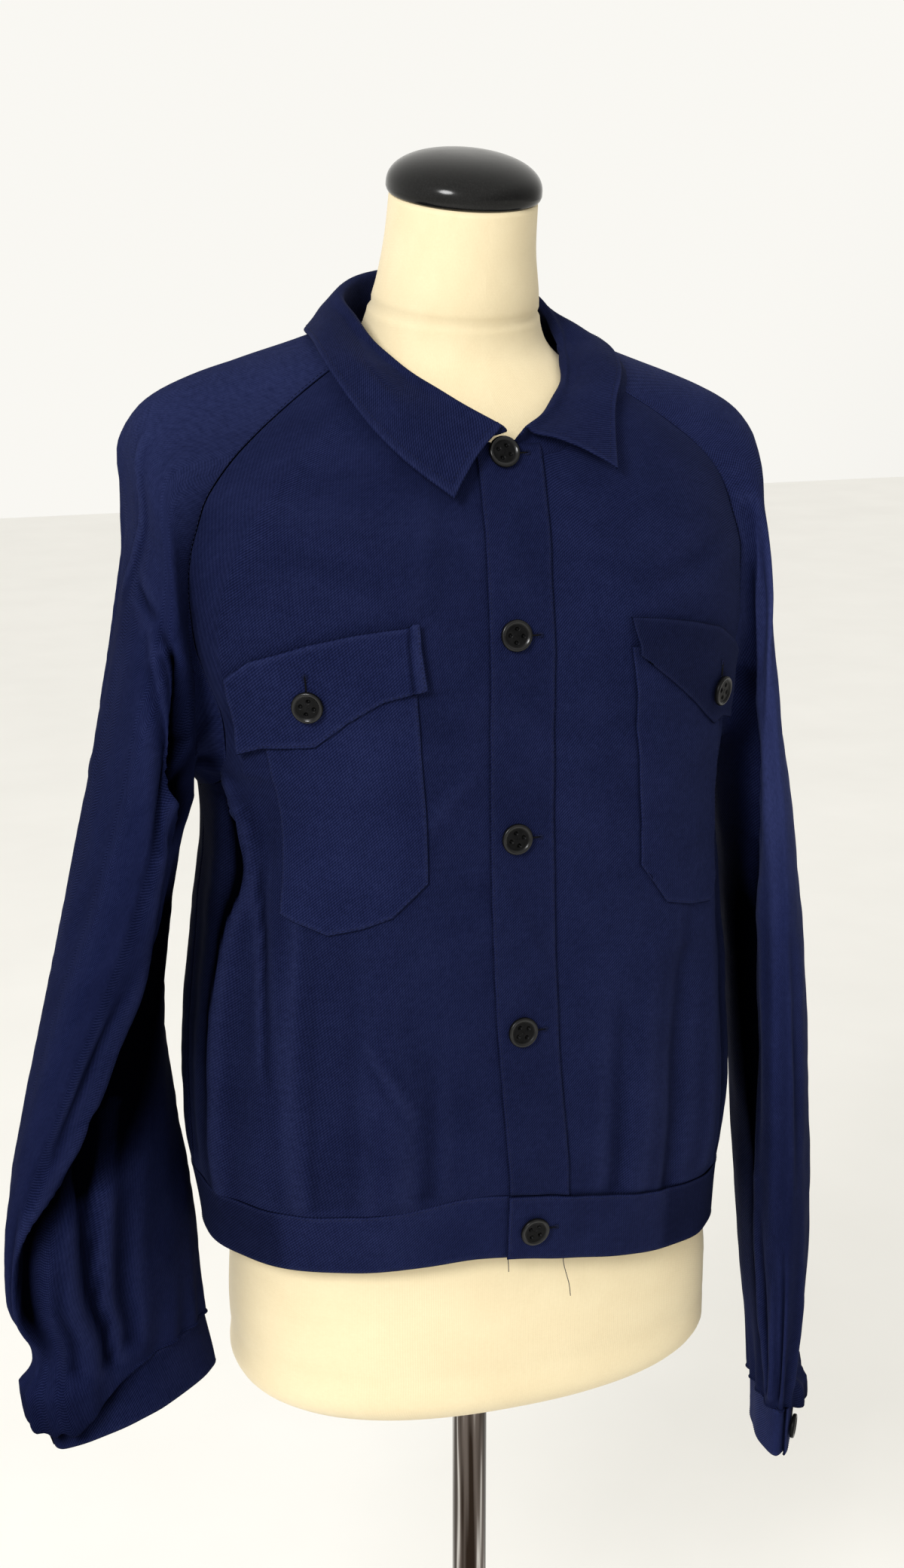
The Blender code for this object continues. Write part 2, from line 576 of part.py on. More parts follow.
def collar_grid():
    """The collar from the wearer's left end round the back to the right end.

    Each column runs from the fall's outer edge over the fold down to the neck seam.
    """
    knots = np.arange(len(COLLAR))
    rows = smooth(knots, COLLAR, np.linspace(0, knots[-1], COLLAR_CELLS + 1))[::-1]
    angles, fold, edge = rows[:, 0], rows[:, 1:4], rows[:, 4:7]
    base = torso(angles, neck_height(angles) + STAND_LIFT, -STAND_LIFT / 2)
    outward = edge - fold
    outward[:, 2] = 0
    outward = outward / np.linalg.norm(outward, axis=1, keepdims=True)
    up = np.array([0, 0, 1.0])
    inner = fold - outward * FOLD_ROLL * 0.9 - up * 0.0035
    outer = fold + outward * FOLD_ROLL - up * 0.0035
    stand = base + (inner - base) * 0.5 - outward * 0.001
    fall = [outer + (edge - outer) * t + up * 0.004 * math.sin(math.pi * t)
            for t in FALL_ROWS]
    below = [surface_tree(front_grid(side)) for side in ("right", "left")]
    below += [surface_tree(sleeve_grid(side, SLEEVE_STEPS), closed=True)
              for side in ("right", "left")]
    below += [surface_tree(back_grid()), surface_tree(placket_grid())]
    fall = [stand_off(points, below, FALL_LEAST_OUT) for points in [edge] + fall[::-1]]
    outer = stand_off(outer, below, FALL_LEAST_OUT)
    return np.stack(fall + [outer, fold, inner, stand, base])


def form_ring(row):
    """One ring of the dress form, kept inside the cloth that hangs on its shoulders."""
    height, centre_x, centre_y, half_width, front, back, squareness, tilt = row
    angles = np.arange(FORM_SIDES) * 360.0 / FORM_SIDES
    radius = ring_radius(angles, half_width, front, back, squareness)
    a = np.radians(angles)
    x, y = centre_x + radius * np.sin(a), centre_y - radius * np.cos(a)
    z = height + (y - centre_y) * math.tan(math.radians(tilt))
    points = np.stack([x, y, z], -1)
    over = points[:, 2] > TORSO[-1, 0] + 0.004
    cloth_row = smooth(TORSO[:, 0], TORSO[:, 1:], points[:, 2])
    away = points[:, :2] - cloth_row[:, :2]
    angle = np.degrees(np.arctan2(away[:, 0], -away[:, 1]))
    room = ring_radius(angle, *cloth_row[:, 2:].T) + body_folds(angle, points[:, 2])
    share = np.minimum(1, (room - WALL - FORM_CLEARANCE) / np.linalg.norm(away, axis=1))
    share[over] = 1
    points[:, :2] = cloth_row[:, :2] + away * share[:, None]
    return points


# ---- meshes -----------------------------------------------------------------------------------
def material(name):
    """The named material, made once."""
    if name in bpy.data.materials:
        return bpy.data.materials[name]
    colour, roughness, metallic = MATERIALS[name]
    made = bpy.data.materials.new(name)
    made.use_nodes = True
    shader = made.node_tree.nodes["Principled BSDF"]
    shader.inputs["Base Color"].default_value = (*colour, 1.0)
    shader.inputs["Roughness"].default_value = roughness
    shader.inputs["Metallic"].default_value = metallic
    return made


def add_mesh(name, vertices, faces, material_name, smooth_angle=40.0):
    """A named object of the part, shaded smooth."""
    mesh = bpy.data.meshes.new(name)
    mesh.from_pydata([tuple(v) for v in vertices], [], faces)
    mesh.shade_smooth()
    mesh.set_sharp_from_angle(angle=math.radians(smooth_angle))
    mesh.materials.append(material(material_name))
    made = bpy.data.objects.new(name, mesh)
    bpy.data.collections[NAME].objects.link(made)
    return made


def cloth(name, grid, wall, closed=False):
    """A wall of cloth on the inner side of a grid of points."""
    faces = grid_faces(grid, closed)
    made = add_mesh(name, grid.reshape(-1, 3), faces, "navy_twill")
    solid = made.modifiers.new("wall", "SOLIDIFY")
    solid.thickness = wall
    solid.offset = -1.0
    solid.use_even_offset = True
    return made


def loft_solid(name, rings, material_name):
    """A closed solid through rings of equal count, flat at both ends."""
    sides = len(rings[0])
    faces = [tuple(range(sides))[::-1],
             tuple((len(rings) - 1) * sides + i for i in range(sides))]
    for r in range(len(rings) - 1):
        for i in range(sides):
            k = (i + 1) % sides
            faces.append((r * sides + i, r * sides + k,
                          (r + 1) * sides + k, (r + 1) * sides + i))
    return add_mesh(name, np.concatenate(rings), faces, material_name)


def turned(name, profile, sides, material_name):
    """A solid turned round its own z axis; the profile runs down its outer side."""
    made = add_mesh(name, [(x, 0.0, z) for x, z in profile],
                    [], material_name)
    mesh = made.data
    mesh.edges.add(len(profile) - 1)
    for i, edge in enumerate(mesh.edges):
        edge.vertices = (i, i + 1)
    screw = made.modifiers.new("turn", "SCREW")
    screw.steps = sides
    screw.render_steps = sides
    screw.use_merge_vertices = True
    screw.merge_threshold = 0.00005
    return made


BUTTON_PROFILE = (       # share of the radius, share of the thickness, from the top's middle
    (0.0, 0.72), (0.62, 0.72), (0.74, 1.0), (0.90, 1.0), (1.0, 0.70), (0.97, 0.30),
    (0.70, 0.0), (0.0, 0.0),
)


def button(name, point, normal, radius=BUTTON_RADIUS):
    """A rimmed button with its back at a point, facing along a normal."""
    profile = [(x * radius, z * BUTTON_THICKNESS) for x, z in BUTTON_PROFILE]
    made = turned(name, profile, 18, "button_black")
    turn = Vector((0, 0, 1)).rotation_difference(Vector(normal)).to_matrix().to_4x4()
    made.matrix_world = Matrix.Translation(Vector(point)) @ turn
    return made


def on_grid(grid, at_row, at_column):
    """Point and outward normal of a grid at fractional row and column."""
    normals = grid_normals(grid)
    i, j = int(at_row), int(at_column)
    i, j = min(i, len(grid) - 2), min(j, grid.shape[1] - 2)
    u, v = at_row - i, at_column - j
    weights = ((i, j, (1 - u) * (1 - v)), (i + 1, j, u * (1 - v)),
               (i, j + 1, (1 - u) * v), (i + 1, j + 1, u * v))
    point = sum(w * grid[a, b] for a, b, w in weights)
    normal = sum(w * normals[a, b] for a, b, w in weights)
    return point, normal / np.linalg.norm(normal)


# ---- the pieces ---------------------------------------------------------------------------------
def build_body():
    """The two fronts and the back, each between its seams."""
    right = pull_in(front_grid("right"), SEAM_GAP, last_row=True, first_column=True)
    left = pull_in(front_grid("left"), SEAM_GAP, last_row=True, last_column=True)
    back = pull_in(back_grid(), SEAM_GAP, last_row=True, first_column=True, last_column=True)
    for name, grid in (("front_right", right), ("front_left", left), ("back", back)):
        cloth(name, pull_in(grid, SEAM_GAP, first_row=True), WALL)
    cloth("placket", placket_grid(), WALL)


def build_sleeves():
    """The raglan sleeves and their cuffs, with a button on each cuff."""
    for side in ("right", "left"):
        grid = pull_in(sleeve_grid(side, SLEEVE_STEPS), SEAM_GAP * 1.5, last_row=True)
        cloth("sleeve_" + side, grid, WALL, closed=True)
        cuff = cuff_grid(side)
        cloth("cuff_" + side, cuff, DOUBLE_WALL)
        column = 1.3 if side == "left" else cuff.shape[1] - 2.3
        point, normal = on_grid(cuff, 1.0, column)
        button("button_cuff_" + side, point + normal * PATCH_LIFT, normal, CUFF_BUTTON_RADIUS)


def build_pockets():
    """The chest pockets, and the flaps that lie over them with their buttons."""
    for side in ("right", "left"):
        cloth("pocket_" + side, patch_grid(side, POCKETS[side], PATCH_LIFT + WALL), WALL)
        over = (PATCH_LIFT + WALL) * 2 + FLAP_LIFT
        cloth("flap_" + side, patch_grid(side, FLAPS[side], over), WALL)
        column, height = FLAP_BUTTON[side]
        panel_column = POCKET_FIRST_COLUMN + column
        panel = front_grid(side)
        if side == "right":
            panel_column = panel.shape[1] - 1 - panel_column
        point = column_points(panel, panel_column, np.array([height]), over)[0]
        far = column_points(panel, panel_column, np.array([height]), over + 0.01)[0]
        normal = (far - point) / np.linalg.norm(far - point)
        button("button_flap_" + side, point + normal * PATCH_LIFT, normal)


def build_front_buttons():
    """Four buttons down the placket and one on the waistband."""
    for number, height in enumerate(BUTTON_HEIGHTS, 1):
        x = float(smooth(BUTTON_LINE[:, 0], BUTTON_LINE[:, 1], height))
        out = PATCH_LIFT + WALL
        if number == len(BUTTON_HEIGHTS):
            out = 0.0006 + DOUBLE_WALL + PATCH_LIFT
        angle = float(angle_at_x(x, height))
        point = torso(angle, height, out)
        along = torso(angle + 2, height) - torso(angle - 2, height)
        up = torso(angle, height + 0.004) - torso(angle, height - 0.004)
        normal = np.cross(along, up)
        normal = normal / np.linalg.norm(normal)
        button("button_front_%d" % number, point + normal * PATCH_LIFT, normal)


def build_form():
    """The dress form with its neck cap, pole and base plate."""
    rows = smooth(FORM[:, 0], FORM, FORM_HEIGHTS)
    loft_solid("form_body", [form_ring(row) for row in rows], "form_jersey")
    steps = [math.radians(a) for a in range(0, 91, 15)]
    dome = [(CAP_RADIUS * math.sin(a), CAP_HEIGHT * math.cos(a) + 0.004) for a in steps]
    cap = turned("neck_cap", dome + [(CAP_RADIUS * 0.97, 0.0), (0.0, 0.0)], 32, "cap_black")
    height, centre_x, centre_y = FORM[-1, :3]
    tilt = math.radians(FORM[-1, 7])
    cap.matrix_world = (Matrix.Translation((centre_x, centre_y, height + SEAM_GAP * 1.5))
                        @ Matrix.Rotation(tilt, 4, "X"))
    top = FORM_BOTTOM - SEAM_GAP
    foot = BASE_THICKNESS + SEAM_GAP
    turned("pole", [(0.0, top), (POLE_RADIUS, top), (POLE_RADIUS, foot), (0.0, foot)], 28,
           "pole_chrome")
    edge = 0.002
    turned("base", [(0.0, BASE_THICKNESS), (BASE_RADIUS - edge, BASE_THICKNESS),
                    (BASE_RADIUS, BASE_THICKNESS - edge), (BASE_RADIUS, 0.0), (0.0, 0.0)], 48,
           "base_metal")


def main():
    for old in list(bpy.data.objects):
        bpy.data.objects.remove(old, do_unlink=True)
    collection = bpy.data.collections.new(NAME)
    bpy.context.scene.collection.children.link(collection)
    build_body()
    build_sleeves()
    build_pockets()
    build_front_buttons()
    cloth("waistband", waistband_grid(), DOUBLE_WALL)
    cloth("collar", collar_grid(), DOUBLE_WALL)
    build_form()


main()
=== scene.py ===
"""Work jacket on a dress form: the looks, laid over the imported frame.

Fine shells of cloth lie on the solids' form, with their creases, seams, stitches and loose
threads, and the dress form gets its jersey, cap and chrome.  Metres, +Z up, front to -Y.
"""

import math

import bmesh
import bpy
import numpy as np
from mathutils import Matrix, Vector
from mathutils.bvhtree import BVHTree


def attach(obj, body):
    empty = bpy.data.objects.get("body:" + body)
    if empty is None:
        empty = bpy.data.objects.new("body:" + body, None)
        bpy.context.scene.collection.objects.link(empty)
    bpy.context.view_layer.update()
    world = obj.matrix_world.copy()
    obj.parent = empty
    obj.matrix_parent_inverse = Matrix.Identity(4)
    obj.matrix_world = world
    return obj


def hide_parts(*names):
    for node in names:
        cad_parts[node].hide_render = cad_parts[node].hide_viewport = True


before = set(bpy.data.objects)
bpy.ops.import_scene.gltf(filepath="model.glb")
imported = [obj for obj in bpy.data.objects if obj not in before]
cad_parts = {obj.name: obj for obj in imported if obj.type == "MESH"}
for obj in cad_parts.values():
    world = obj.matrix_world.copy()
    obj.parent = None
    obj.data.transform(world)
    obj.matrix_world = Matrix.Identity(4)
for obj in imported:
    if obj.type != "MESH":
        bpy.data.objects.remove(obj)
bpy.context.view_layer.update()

SIDES = ("right", "left")
FACING = {"right": -1, "left": 1}    # angles grow (+) or fall (-) from the front edge out
ENDS = ("first", "last")             # a grid's first and last columns; "low", "high": its rows
ALL_EDGES = ("low", "high", *ENDS)

WALL = 0.0016            # one layer of the solids' twill with its turnings
DOUBLE_WALL = 0.0022     # collar, waistband and cuffs are two layers
CLOTH_WALL = 0.0013      # the walls of the looks, of one layer
BAND_WALL = 0.0019       # and of two
SEAM_GAP = 0.0003        # between pieces that are sewn to each other
PATCH_LIFT = 0.0008      # between a patch and what it lies on
FLAP_LIFT = 0.0005       # more under a flap, which has a pocket's edge below it
BAND_LIFT = 0.0006       # the waistband above the rings of the body
CUFF_HEIGHT = 0.040
BAND_HEIGHT = 0.045
BUTTON_RADIUS = 0.010
BUTTON_THICKNESS = 0.0034
CUFF_BUTTON_RADIUS = 0.009
FORM_BOTTOM = 0.633
FORM_CLEARANCE = 0.0007  # between the form's shoulders and the cloth that hangs on them

RAGLAN_STEPS = 10        # cells along each raglan seam
NECK_STEPS = 3           # cells along a sleeve's short neck edge
RAGLAN_SHARE = 0.44      # part of the way round a sleeve that each raglan seam takes
SIDE_STEPS = 9           # cells along a side seam

# ---- the jacket's body as rings; the sides above the underarm lie inside the sleeves --------
# Height, centre x, centre y, half width, front, back, squareness.
TORSO = np.array([
    (0.7, -0.006, 0.004, 0.182, 0.126, 0.11, 2.3),
    (0.76, -0.006, 0.004, 0.185, 0.129, 0.112, 2.3),
    (0.82, -0.007, 0.004, 0.193, 0.136, 0.118, 2.3),
    (0.9, -0.008, 0.004, 0.192, 0.136, 0.118, 2.3),
    (0.98, -0.007, 0.004, 0.184, 0.135, 0.119, 2.3),
    (1.06, -0.007, 0.004, 0.177, 0.134, 0.12, 2.3),
    (1.12, -0.011, 0.005, 0.187, 0.133, 0.12, 2.35),
    (1.18, -0.014, 0.006, 0.199, 0.13, 0.116, 2.4),
    (1.24, -0.014, 0.008, 0.194, 0.12, 0.108, 2.4),
    (1.28, -0.013, 0.01, 0.178, 0.109, 0.098, 2.3),
    (1.31, -0.012, 0.012, 0.148, 0.098, 0.088, 2.2),
    (1.335, -0.011, 0.014, 0.115, 0.088, 0.078, 2.1),
    (1.352, -0.009, 0.015, 0.09, 0.08, 0.07, 2), (1.37, -0.008, 0.016, 0.078, 0.074, 0.064, 2),
])

# Large soft folds of the body: angles at the top and the bottom, heights of the two, how far
# it stands out (+) or in (-), and half its width in degrees.
BODY_FOLDS = (
    (-66, -73, 1.09, 0.8, -0.007, 6), (-78, -84, 1.07, 0.8, 0.004, 6),
    (-46, -50, 0.98, 0.8, -0.003, 7), (70, 66, 1.06, 0.8, -0.005, 6),
    (48, 44, 0.96, 0.8, -0.003, 7), (-150, -152, 1.16, 0.8, -0.005, 9),
    (178, 180, 1.1, 0.8, -0.004, 10), (148, 150, 1.16, 0.8, -0.005, 9),
)

# Edge of the body at the waistband: angle, top and bottom of the band.
HEM = np.array([
    (-180, 0.785, 0.74), (-90, 0.799, 0.754), (-45, 0.803, 0.76), (-12, 0.814, 0.766),
    (12, 0.806, 0.758), (45, 0.789, 0.742), (75, 0.777, 0.73), (90, 0.775, 0.728),
    (135, 0.778, 0.732), (180, 0.785, 0.74),
])

# Neck seam: angle, height.
NECK = np.array([
    (-180, 1.366), (-128, 1.36), (-90, 1.355), (-60, 1.346), (-40, 1.324), (-20, 1.303),
    (-8, 1.296), (8, 1.294), (20, 1.296), (50, 1.325), (90, 1.35), (128, 1.357), (180, 1.366),
])

# Raglan seams, angle and height on the body from the underarm up to the neck seam.
RAGLAN = {
    ("right", "front"): ((-92, 1.068), (-80, 1.078), (-73, 1.095), (-70.5, 1.13), (-73, 1.18),
                         (-74, 1.22), (-73, 1.262), (-70.5, 1.295), (-66, 1.324), (-60, 1.346)),
    ("right", "back"): ((-92, 1.068), (-104, 1.078), (-111, 1.1), (-114, 1.14), (-113, 1.19),
                        (-112, 1.23), (-113, 1.27), (-116, 1.305), (-121, 1.336), (-128, 1.36)),
    ("left", "front"): ((92, 1.06), (84, 1.068), (78.5, 1.085), (76.5, 1.12), (77, 1.17),
                        (76, 1.21), (72, 1.255), (66, 1.29), (58, 1.311), (50, 1.325)),
    ("left", "back"): ((92, 1.06), (104, 1.07), (111, 1.09), (114, 1.13), (113, 1.18),
                       (112, 1.22), (113, 1.26), (116, 1.298), (121, 1.332), (128, 1.357)),
}
SIDE_ANGLE = {"right": -92.0, "left": 92.0}

# The line of the front buttons: height, x.
BUTTON_LINE = np.array([
    (0.74, -0.002), (0.8, -0.004), (0.93, -0.014), (1.05, -0.018), (1.18, -0.017),
    (1.3, -0.015),
])
BUTTON_HEIGHTS = (1.289, 1.181, 1.054, 0.926, 0.785)
PLACKET_OUTER = 0.0165   # from the button line to the placket's free edge
PLACKET_INNER = 0.0260   # from the button line to its stitched edge
PLACKET_MIDDLE = (-0.012, 1.05)      # x and height of a point near its middle

# Sleeves, one row for each ring from the shoulder down: outer x and z and inner x and z of the
# flattened tube, the middle's y, half its depth, the turn of its front fold towards the
# wearer's right, how sharp its two folds are (2 is an ellipse) and how far the front hangs
# below the back.
SLEEVES = {
    "right": np.array([
        (-0.216, 1.316, -0.197, 1.08, 0.004, 0.06, 0, 2.3, 0),
        (-0.224, 1.24, -0.2, 1.06, 0.002, 0.078, 0, 2.1, 0),
        (-0.242, 1.155, -0.204, 1.04, 0, 0.086, 4, 1.9, 0),
        (-0.269, 1.04, -0.21, 0.985, 0, 0.088, 10, 1.8, 0),
        (-0.294, 0.93, -0.22, 0.905, 0, 0.092, 24, 1.7, 0),
        (-0.304, 0.83, -0.226, 0.825, 0, 0.092, 42, 1.7, 0.004),
        (-0.3, 0.75, -0.226, 0.752, 0, 0.084, 56, 1.7, 0.007),
        (-0.286, 0.703, -0.224, 0.71, 0, 0.068, 64, 1.8, 0.009),
        (-0.28, 0.67, -0.228, 0.68, 0, 0.067, 68, 1.8, 0.01),
    ]),
    "left": np.array([
        (0.19, 1.3, 0.183, 1.074, 0.006, 0.055, 0, 2.3, 0),
        (0.198, 1.225, 0.183, 1.052, 0.006, 0.066, 0, 2.1, 0),
        (0.213, 1.14, 0.186, 1.032, 0.004, 0.076, 6, 1.9, 0),
        (0.234, 1.03, 0.192, 0.98, 0, 0.087, 12, 1.8, 0),
        (0.25, 0.92, 0.198, 0.9, -0.004, 0.09, 16, 1.8, 0),
        (0.257, 0.8, 0.204, 0.79, -0.01, 0.088, 18, 1.8, 0),
        (0.26, 0.69, 0.21, 0.685, -0.016, 0.08, 20, 1.8, 0),
        (0.252, 0.615, 0.216, 0.615, -0.022, 0.064, 20, 1.8, 0),
        (0.247, 0.578, 0.22, 0.578, -0.024, 0.052, 20, 1.8, 0),
    ]),
}

# Columns of the two fronts, in degrees, from the buttoning edge to the pocket's outer side;
# the last OUTER_CELLS cells fill the space up to the side seam or the raglan seam.
FRONT_COLUMNS = {
    "right": (1, -9.5, -18, -27.2, -35.5, -42.5, -49.5, -60.5, -66),
    "left": (4, 9.7, 21, 31.5, 40, 48.5, 56.5, 61.5, 66),
}
OUTER_CELLS = 3
BACK_CELLS = 14
NECK_ROWS = 6            # rows below the neck seam over which the columns draw together

# Chest pockets and flaps: their first column of the front, then the heights of their top and
# bottom edges at each column from the inner edge out.
POCKET_FIRST_COLUMN = 3
PATCHES = {
    ("pocket", "right"): ((1.171, 1.028), (1.169, 1.0055), (1.167, 0.998), (1.165, 0.993),
                          (1.162, 1.004)),
    ("pocket", "left"): ((1.168, 1.025), (1.166, 0.995), (1.163, 0.988), (1.16, 0.984),
                         (1.157, 1)),
    ("flap", "right"): ((1.19, 1.151), (1.188, 1.144), (1.185, 1.131), (1.18, 1.115),
                        (1.168, 1.112), (1.154, 1.106)),
    ("flap", "left"): ((1.187, 1.163), (1.184, 1.144), (1.179, 1.124), (1.172, 1.106),
                       (1.162, 1.108), (1.15, 1.104)),
}
FLAP_BUTTON = {"right": (3, 1.142), "left": (3, 1.129)}      # column within the flap, height

# Collar, one row for each place along the neck seam: the seam's angle, x, y and z of the top
# of the fold, and those of the fall's outer edge.
COLLAR = np.array([
    (-7, -0.017, -0.102, 1.306, -0.053, -0.116, 1.265),
    (-22, -0.041, -0.08, 1.321, -0.08, -0.103, 1.287),
    (-42, -0.058, -0.054, 1.334, -0.099, -0.082, 1.311),
    (-62, -0.072, -0.026, 1.35, -0.113, -0.048, 1.342),
    (-88, -0.08, 0.004, 1.369, -0.11, -0.006, 1.355),
    (-115, -0.078, 0.038, 1.382, -0.1, 0.044, 1.355),
    (-146, -0.05, 0.072, 1.391, -0.064, 0.094, 1.347),
    (-180, -0.008, 0.084, 1.395, -0.008, 0.108, 1.338),
    (-214, 0.036, 0.074, 1.389, 0.049, 0.093, 1.342),
    (-245, 0.061, 0.042, 1.376, 0.084, 0.049, 1.35),
    (-272, 0.064, 0.009, 1.356, 0.094, -0.004, 1.347),
    (-298, 0.056, -0.022, 1.341, 0.083, -0.054, 1.334),
    (-318, 0.045, -0.049, 1.328, 0.067, -0.08, 1.317),
    (-340, 0.024, -0.078, 1.314, 0.06, -0.098, 1.296),
    (-357, -0.001, -0.101, 1.304, 0.057, -0.11, 1.278),
])
COLLAR_CELLS = 90
COLLAR_SMOOTHING = 6
FOLD_ROLL = 0.0045       # half the width of the roll along the fold
FOLD_SINK = 0.0035       # the roll's sides below its top
NECK_TUCK = 0.009        # how far the collar's stand reaches down inside the neck seam
STAND_LIFT = 0.0010      # the stand's visible face above the neck seam
FALL_LEAST_OUT = 0.0048  # the fall's outer face above the cloth below it
FALL_ROWS = (0.25, 0.50, 0.75)
STAND_OFF_PASSES = 4
STAND_OFF_ASIDE = 0.002
STAND_OFF_REACH = 0.040

# Dress form: height, centre x, centre y, half width, front, back, squareness, forward tilt.
FORM = np.array([
    (FORM_BOTTOM, 0.001, 0.006, 0.158, 0.099, 0.09, 2.3, 0),
    (0.641, 0.001, 0.005, 0.168, 0.109, 0.098, 2.3, 0),
    (0.675, 0.001, 0.004, 0.174, 0.115, 0.103, 2.3, 0),
    (0.74, 0, 0.004, 0.172, 0.114, 0.102, 2.3, 0),
    (0.8, -0.001, 0.004, 0.17, 0.113, 0.102, 2.3, 0),
    (0.88, -0.004, 0.004, 0.156, 0.107, 0.099, 2.3, 0),
    (0.96, -0.004, 0.004, 0.137, 0.098, 0.092, 2.2, 0),
    (1.04, -0.004, 0.004, 0.14, 0.106, 0.095, 2.2, 0),
    (1.12, -0.004, 0.005, 0.15, 0.118, 0.102, 2.2, 0),
    (1.2, -0.004, 0.006, 0.156, 0.11, 0.103, 2.2, 0),
    (1.26, -0.004, 0.009, 0.156, 0.093, 0.098, 2.2, 0),
    (1.29, -0.004, 0.012, 0.138, 0.084, 0.092, 2.2, 0),
    (1.312, -0.005, 0.014, 0.112, 0.072, 0.082, 2.1, 0),
    (1.33, -0.006, 0.018, 0.084, 0.062, 0.072, 2, 2),
    (1.346, -0.006, 0.022, 0.066, 0.056, 0.06, 2, 6),
    (1.365, -0.005, 0.022, 0.057, 0.053, 0.055, 2, 10),
    (1.385, -0.004, 0.017, 0.053, 0.052, 0.052, 2, 12),
    (1.41, -0.004, 0.012, 0.049, 0.05, 0.05, 2, 13),
    (1.441, -0.004, 0.005, 0.0475, 0.0475, 0.0475, 2, 13),
])
FORM_SIDES = 128
FORM_ROUND = 0.60        # turns the form's angles into distances for its knit
FORM_SEAM = (1.372, 0.020, 0.20)     # the neck seam's height at a depth y, and its slope
FORM_SEAM_WIDTH = 0.0022
CAP_RADIUS = 0.050
CAP_HEIGHT = 0.022

# ---- the fine cloth -------------------------------------------------------------------------
CLOTH_CELL = 0.0032      # side of a cell of a panel or a sleeve
PATCH_CELL = 0.0022      # of a pocket, flap, band or collar
EDGE_STEPS = (0.0004, 0.0009, 0.0016)        # extra rows near a free edge, for its rounding
EDGE_DROP = 0.0007       # how far a free edge turns in
TUCK_REACH = 0.0070      # how far cloth reaches on under the cloth that it is sewn to
TUCK_DEPTH = 0.0020
BODY_RADIUS = 0.150      # turns the body's angles into distances for creases and weave
SLEEVE_ROUND = 0.430     # turns a sleeve's shares into distances
RUB_AND_SHADE_DEPTH = 0.0010       # relief that rubs the cloth fully light or gives it full painted shade
RUB_AND_SHADE_LIMITS = (-0.9, 0.3)
RUBBED_EDGE = 0.0036     # width of the rubbed strip along an edge
SEAM_SHADE = 0.0011      # and of the painted shade line at the seam
OVERLAP_EDGE = 0.0035    # width of the step behind an overlapping fold
CREST_SHARE = 0.14       # how far the fold itself stands out, as a share of the step
CREST_WIDTH = 0.007
SHADE_START = 0.002      # from the fold to the painted shade behind it
FULL_SHADE_DROP = 0.009
GATHER_HEIGHT = 0.075    # how far the gathers reach above the waistband
GATHER_LENGTH = 0.026    # from one to the next
GATHER_DEPTH = 0.0011
CUFF_GATHER_HEIGHT = 0.070           # the same above a cuff
CUFF_GATHER_DEPTH = 0.0018
SLEEVE_TUBE = 0.07       # radius at which a sleeve's unevenness is laid out
FRAY = 0.00035           # unevenness of the patches' worn edges
POCKET_FULLNESS = 0.0014
BAND_OVERLAP = 0.045     # part of the way round that a band's ends lap
BAND_END_X = -0.021      # the waistband's free end, on top, seen from the front
CUFF_CELLS = 28
CUFF_OVERLAP = 0.07
CUFF_START = 0.30        # share of the way round where the cuff's end laps
CUFF_TAPER = 0.96
# How a sleeve's end hangs over its cuff: share at its middle, half its spread, how far down.
OVERHANG = {"right": (0.33, 0.27, 0.024), "left": (0.55, 0.20, 0.012)}
OVERHANG_LOBES = ((7, 0.08), (11, 0.07), (17, 0.05), (23, 0.04))     # count, size
ROLL = ((0.50, 0.0075), (0.95, 0.0090), (1.00, 0.0115), (0.70, 0.0135))  # share down, out
ROLL_ROWS = 14
# Painted light and painted shade of a sleeve at these heights, on top of its folds: lighter high
# up, and the far sleeve darker low down.
SLEEVE_PAINTED_LIGHT = {
    "right": ((1.19, 1.31), (0.0, 0.75)),
    "left": ((0.78, 0.95, 1.05, 1.17, 1.25), (-0.45, 0.0, 0.7, 0.7, 0.0)),
}
# Each kind of cloth: its wall, the width, length and area of the cut that shows, how it is held.
CUTS = {
    "front": (CLOTH_WALL, (0.27, 0.57), 0.115, "stretched"),
    "back": (CLOTH_WALL, (0.46, 0.60), 0.215, "stretched"),
    "placket": (CLOTH_WALL, (0.043, 0.53), None, "stretched"),
    "sleeve": (CLOTH_WALL, (0.44, 0.78), 0.265, "hung"),
    "cuff": (BAND_WALL, (0.27, 0.042), None, "gathered"),
    "pocket": (CLOTH_WALL, (0.125, 0.170), 0.019, "laid"),
    "flap": (CLOTH_WALL, (0.130, 0.062), 0.0064, "laid"),
    "waistband": (BAND_WALL, (1.05, 0.045), None, "stretched"),
    "collar": (BAND_WALL, (0.47, 0.085), None, "folded"),
}
# Soft unevenness of each kind of cloth: how high, how long its bumps are, and their seed.
UNEVEN = {
    "body": ((0.0006, 0.050, 11), (0.0002, 0.018, 12)), "cuff": ((0.0009, 0.030, 41),),
    "waistband": ((0.0008, 0.045, 51),), "pocket": ((0.0004, 0.030, 61),),
    "flap": ((0.0003, 0.020, 62),), "collar": ((0.0009, 0.045, 71),),
}
PATCH_SCALE = 0.0025     # turns degrees into distances for a patch's unevenness
# Raised places of the flaps: share across (from the inner side) and up, reach in metres, lift.
FLAP_CURLS = {
    "right": (((0.0, 0.1), 0.020, 0.0016), ((1.0, 0.0), 0.022, 0.0022)),
    "left": (((0.0, 0.2), 0.018, 0.0030), ((1.0, 0.0), 0.022, 0.0020)),
}
# A flap's inner end: the folded strip's width and lift, and how far its lower corner is pulled.
FLAP_WIDTH = 0.125
FLAP_STRIP = {"right": 0.0085, "left": 0.0}
FLAP_STRIP_LIFT = 0.0011
FLAP_STRIP_RISE = 0.0022
STRIP_EDGE = 0.0012
FLAP_PULL = {"right": 0.0075, "left": 0.0}
